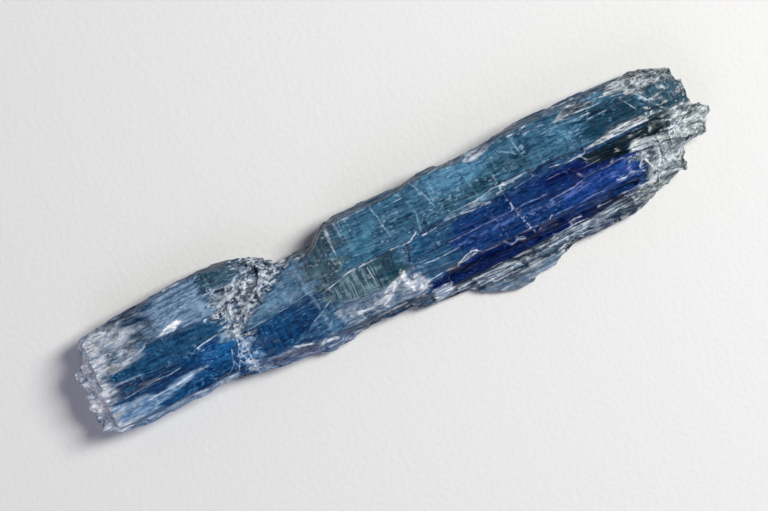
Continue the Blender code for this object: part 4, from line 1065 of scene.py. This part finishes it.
    fine = node("Math", {0: grey(2.2, 0.12, 14), 1: 0.3}, operation="MULTIPLY")
    relief = node("Math", {0: frost, 1: grain, 2: fine}, operation="MULTIPLY_ADD")
    bump = node("Bump", {"Height": relief, "Strength": 1.0, "Distance": 0.04 * MM})
    tree.links.new(bump, shader.inputs["Normal"])
    shader.inputs["IOR"].default_value = 1.72
    shader.inputs["Specular IOR Level"].default_value = 0.12
    inside = node("VolumeAbsorption", {"Color": (*linear("inside"), 1.0), "Density": CLOUDING})
    tree.links.new(inside, tree.nodes["Material Output"].inputs["Volume"])
    return material


def paper():
    """Uncoated drawing paper: matt, near white, with a faint tooth."""
    material, tree, shader = new_material("uncoated_paper")
    node = partial(add, tree)
    place = node("TexCoord", out="Object")
    tooth = node("TexNoise", {"Vector": place, "Scale": 1 / (PAPER_TOOTH * MM), "Detail": 3.0})
    bump = node("Bump", {"Height": tooth, "Strength": 0.6, "Distance": 0.06 * MM})
    tree.links.new(bump, shader.inputs["Normal"])
    shader.inputs["Base Color"].default_value = (*linear("paper"), 1.0)
    shader.inputs["Roughness"].default_value = 0.9
    shader.inputs["Specular IOR Level"].default_value = 0.2
    return material


# Stage -----------------------------------------------------------------------------------------


def floor():
    half = PAPER_SIDE / 2 * MM
    corners = [(-half, -half, 0), (half, -half, 0), (half, half, 0), (-half, half, 0)]
    mesh = bpy.data.meshes.new("paper")
    mesh.from_pydata(corners, [], [(0, 1, 2, 3)])
    mesh.materials.append(paper())
    piece = bpy.data.objects.new("paper", mesh)
    bpy.context.scene.collection.objects.link(piece)


def aim(piece, target):
    piece.rotation_euler = (Vector(target) - piece.location).to_track_quat("-Z", "Y").to_euler()


def lamp(name, place, width, height, watts, colour):
    """A soft light at a place in millimetres, turned to the crystal."""
    data = bpy.data.lights.new(name, "AREA")
    data.shape = "RECTANGLE"
    data.size = width * MM
    data.size_y = height * MM
    data.energy = watts
    data.color = linear(colour)
    made = bpy.data.objects.new(name, data)
    made.location = Vector(place) * MM
    bpy.context.scene.collection.objects.link(made)
    aim(made, (0, 0, 0))


def sky():
    """Dim all round and darker overhead, so that level faces mirror nothing bright."""
    world = bpy.data.worlds.new("studio")
    bpy.context.scene.world = world
    world.use_nodes = True
    tree = world.node_tree
    direction = add(tree, "TexCoord", out="Generated")
    height = add(tree, "SeparateXYZ", {0: direction}, out="Z")
    low = add(tree, "MapRange", {0: height, 1: 0.0, 2: 0.4, 3: 0.18, 4: 0.35})
    high = {0: height, 1: 0.55, 2: 0.92, 3: 1.0, 4: 0.06}
    high = add(tree, "MapRange", high, interpolation_type="SMOOTHSTEP")
    glow = add(tree, "Math", {0: low, 1: high}, operation="MULTIPLY")
    background = tree.nodes["Background"]
    tree.links.new(glow, background.inputs["Strength"])
    background.inputs["Color"].default_value = (*linear("sky_light"), 1.0)


def camera():
    data = bpy.data.cameras.new("camera")
    data.sensor_width = 36.0
    data.lens = data.sensor_width * CAMERA_HEIGHT / VIEW_WIDTH
    data.clip_start = 10 * MM
    made = bpy.data.objects.new("camera", data)
    made.location = (VIEW_CENTRE[0] * MM, VIEW_CENTRE[1] * MM, CAMERA_HEIGHT * MM)
    made.rotation_euler = (0, 0, VIEW_TURN)
    bpy.context.scene.collection.objects.link(made)
    bpy.context.scene.camera = made


def main():
    piece = crystal(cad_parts[NODE])
    piece.data.materials.clear()
    piece.data.materials.append(kyanite())
    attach(piece, "root")
    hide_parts(NODE)
    floor()
    sky()
    for name, settings in LAMPS.items():
        lamp(name, *settings)
    camera()
    bpy.context.scene.view_settings.view_transform = "Standard"


main()
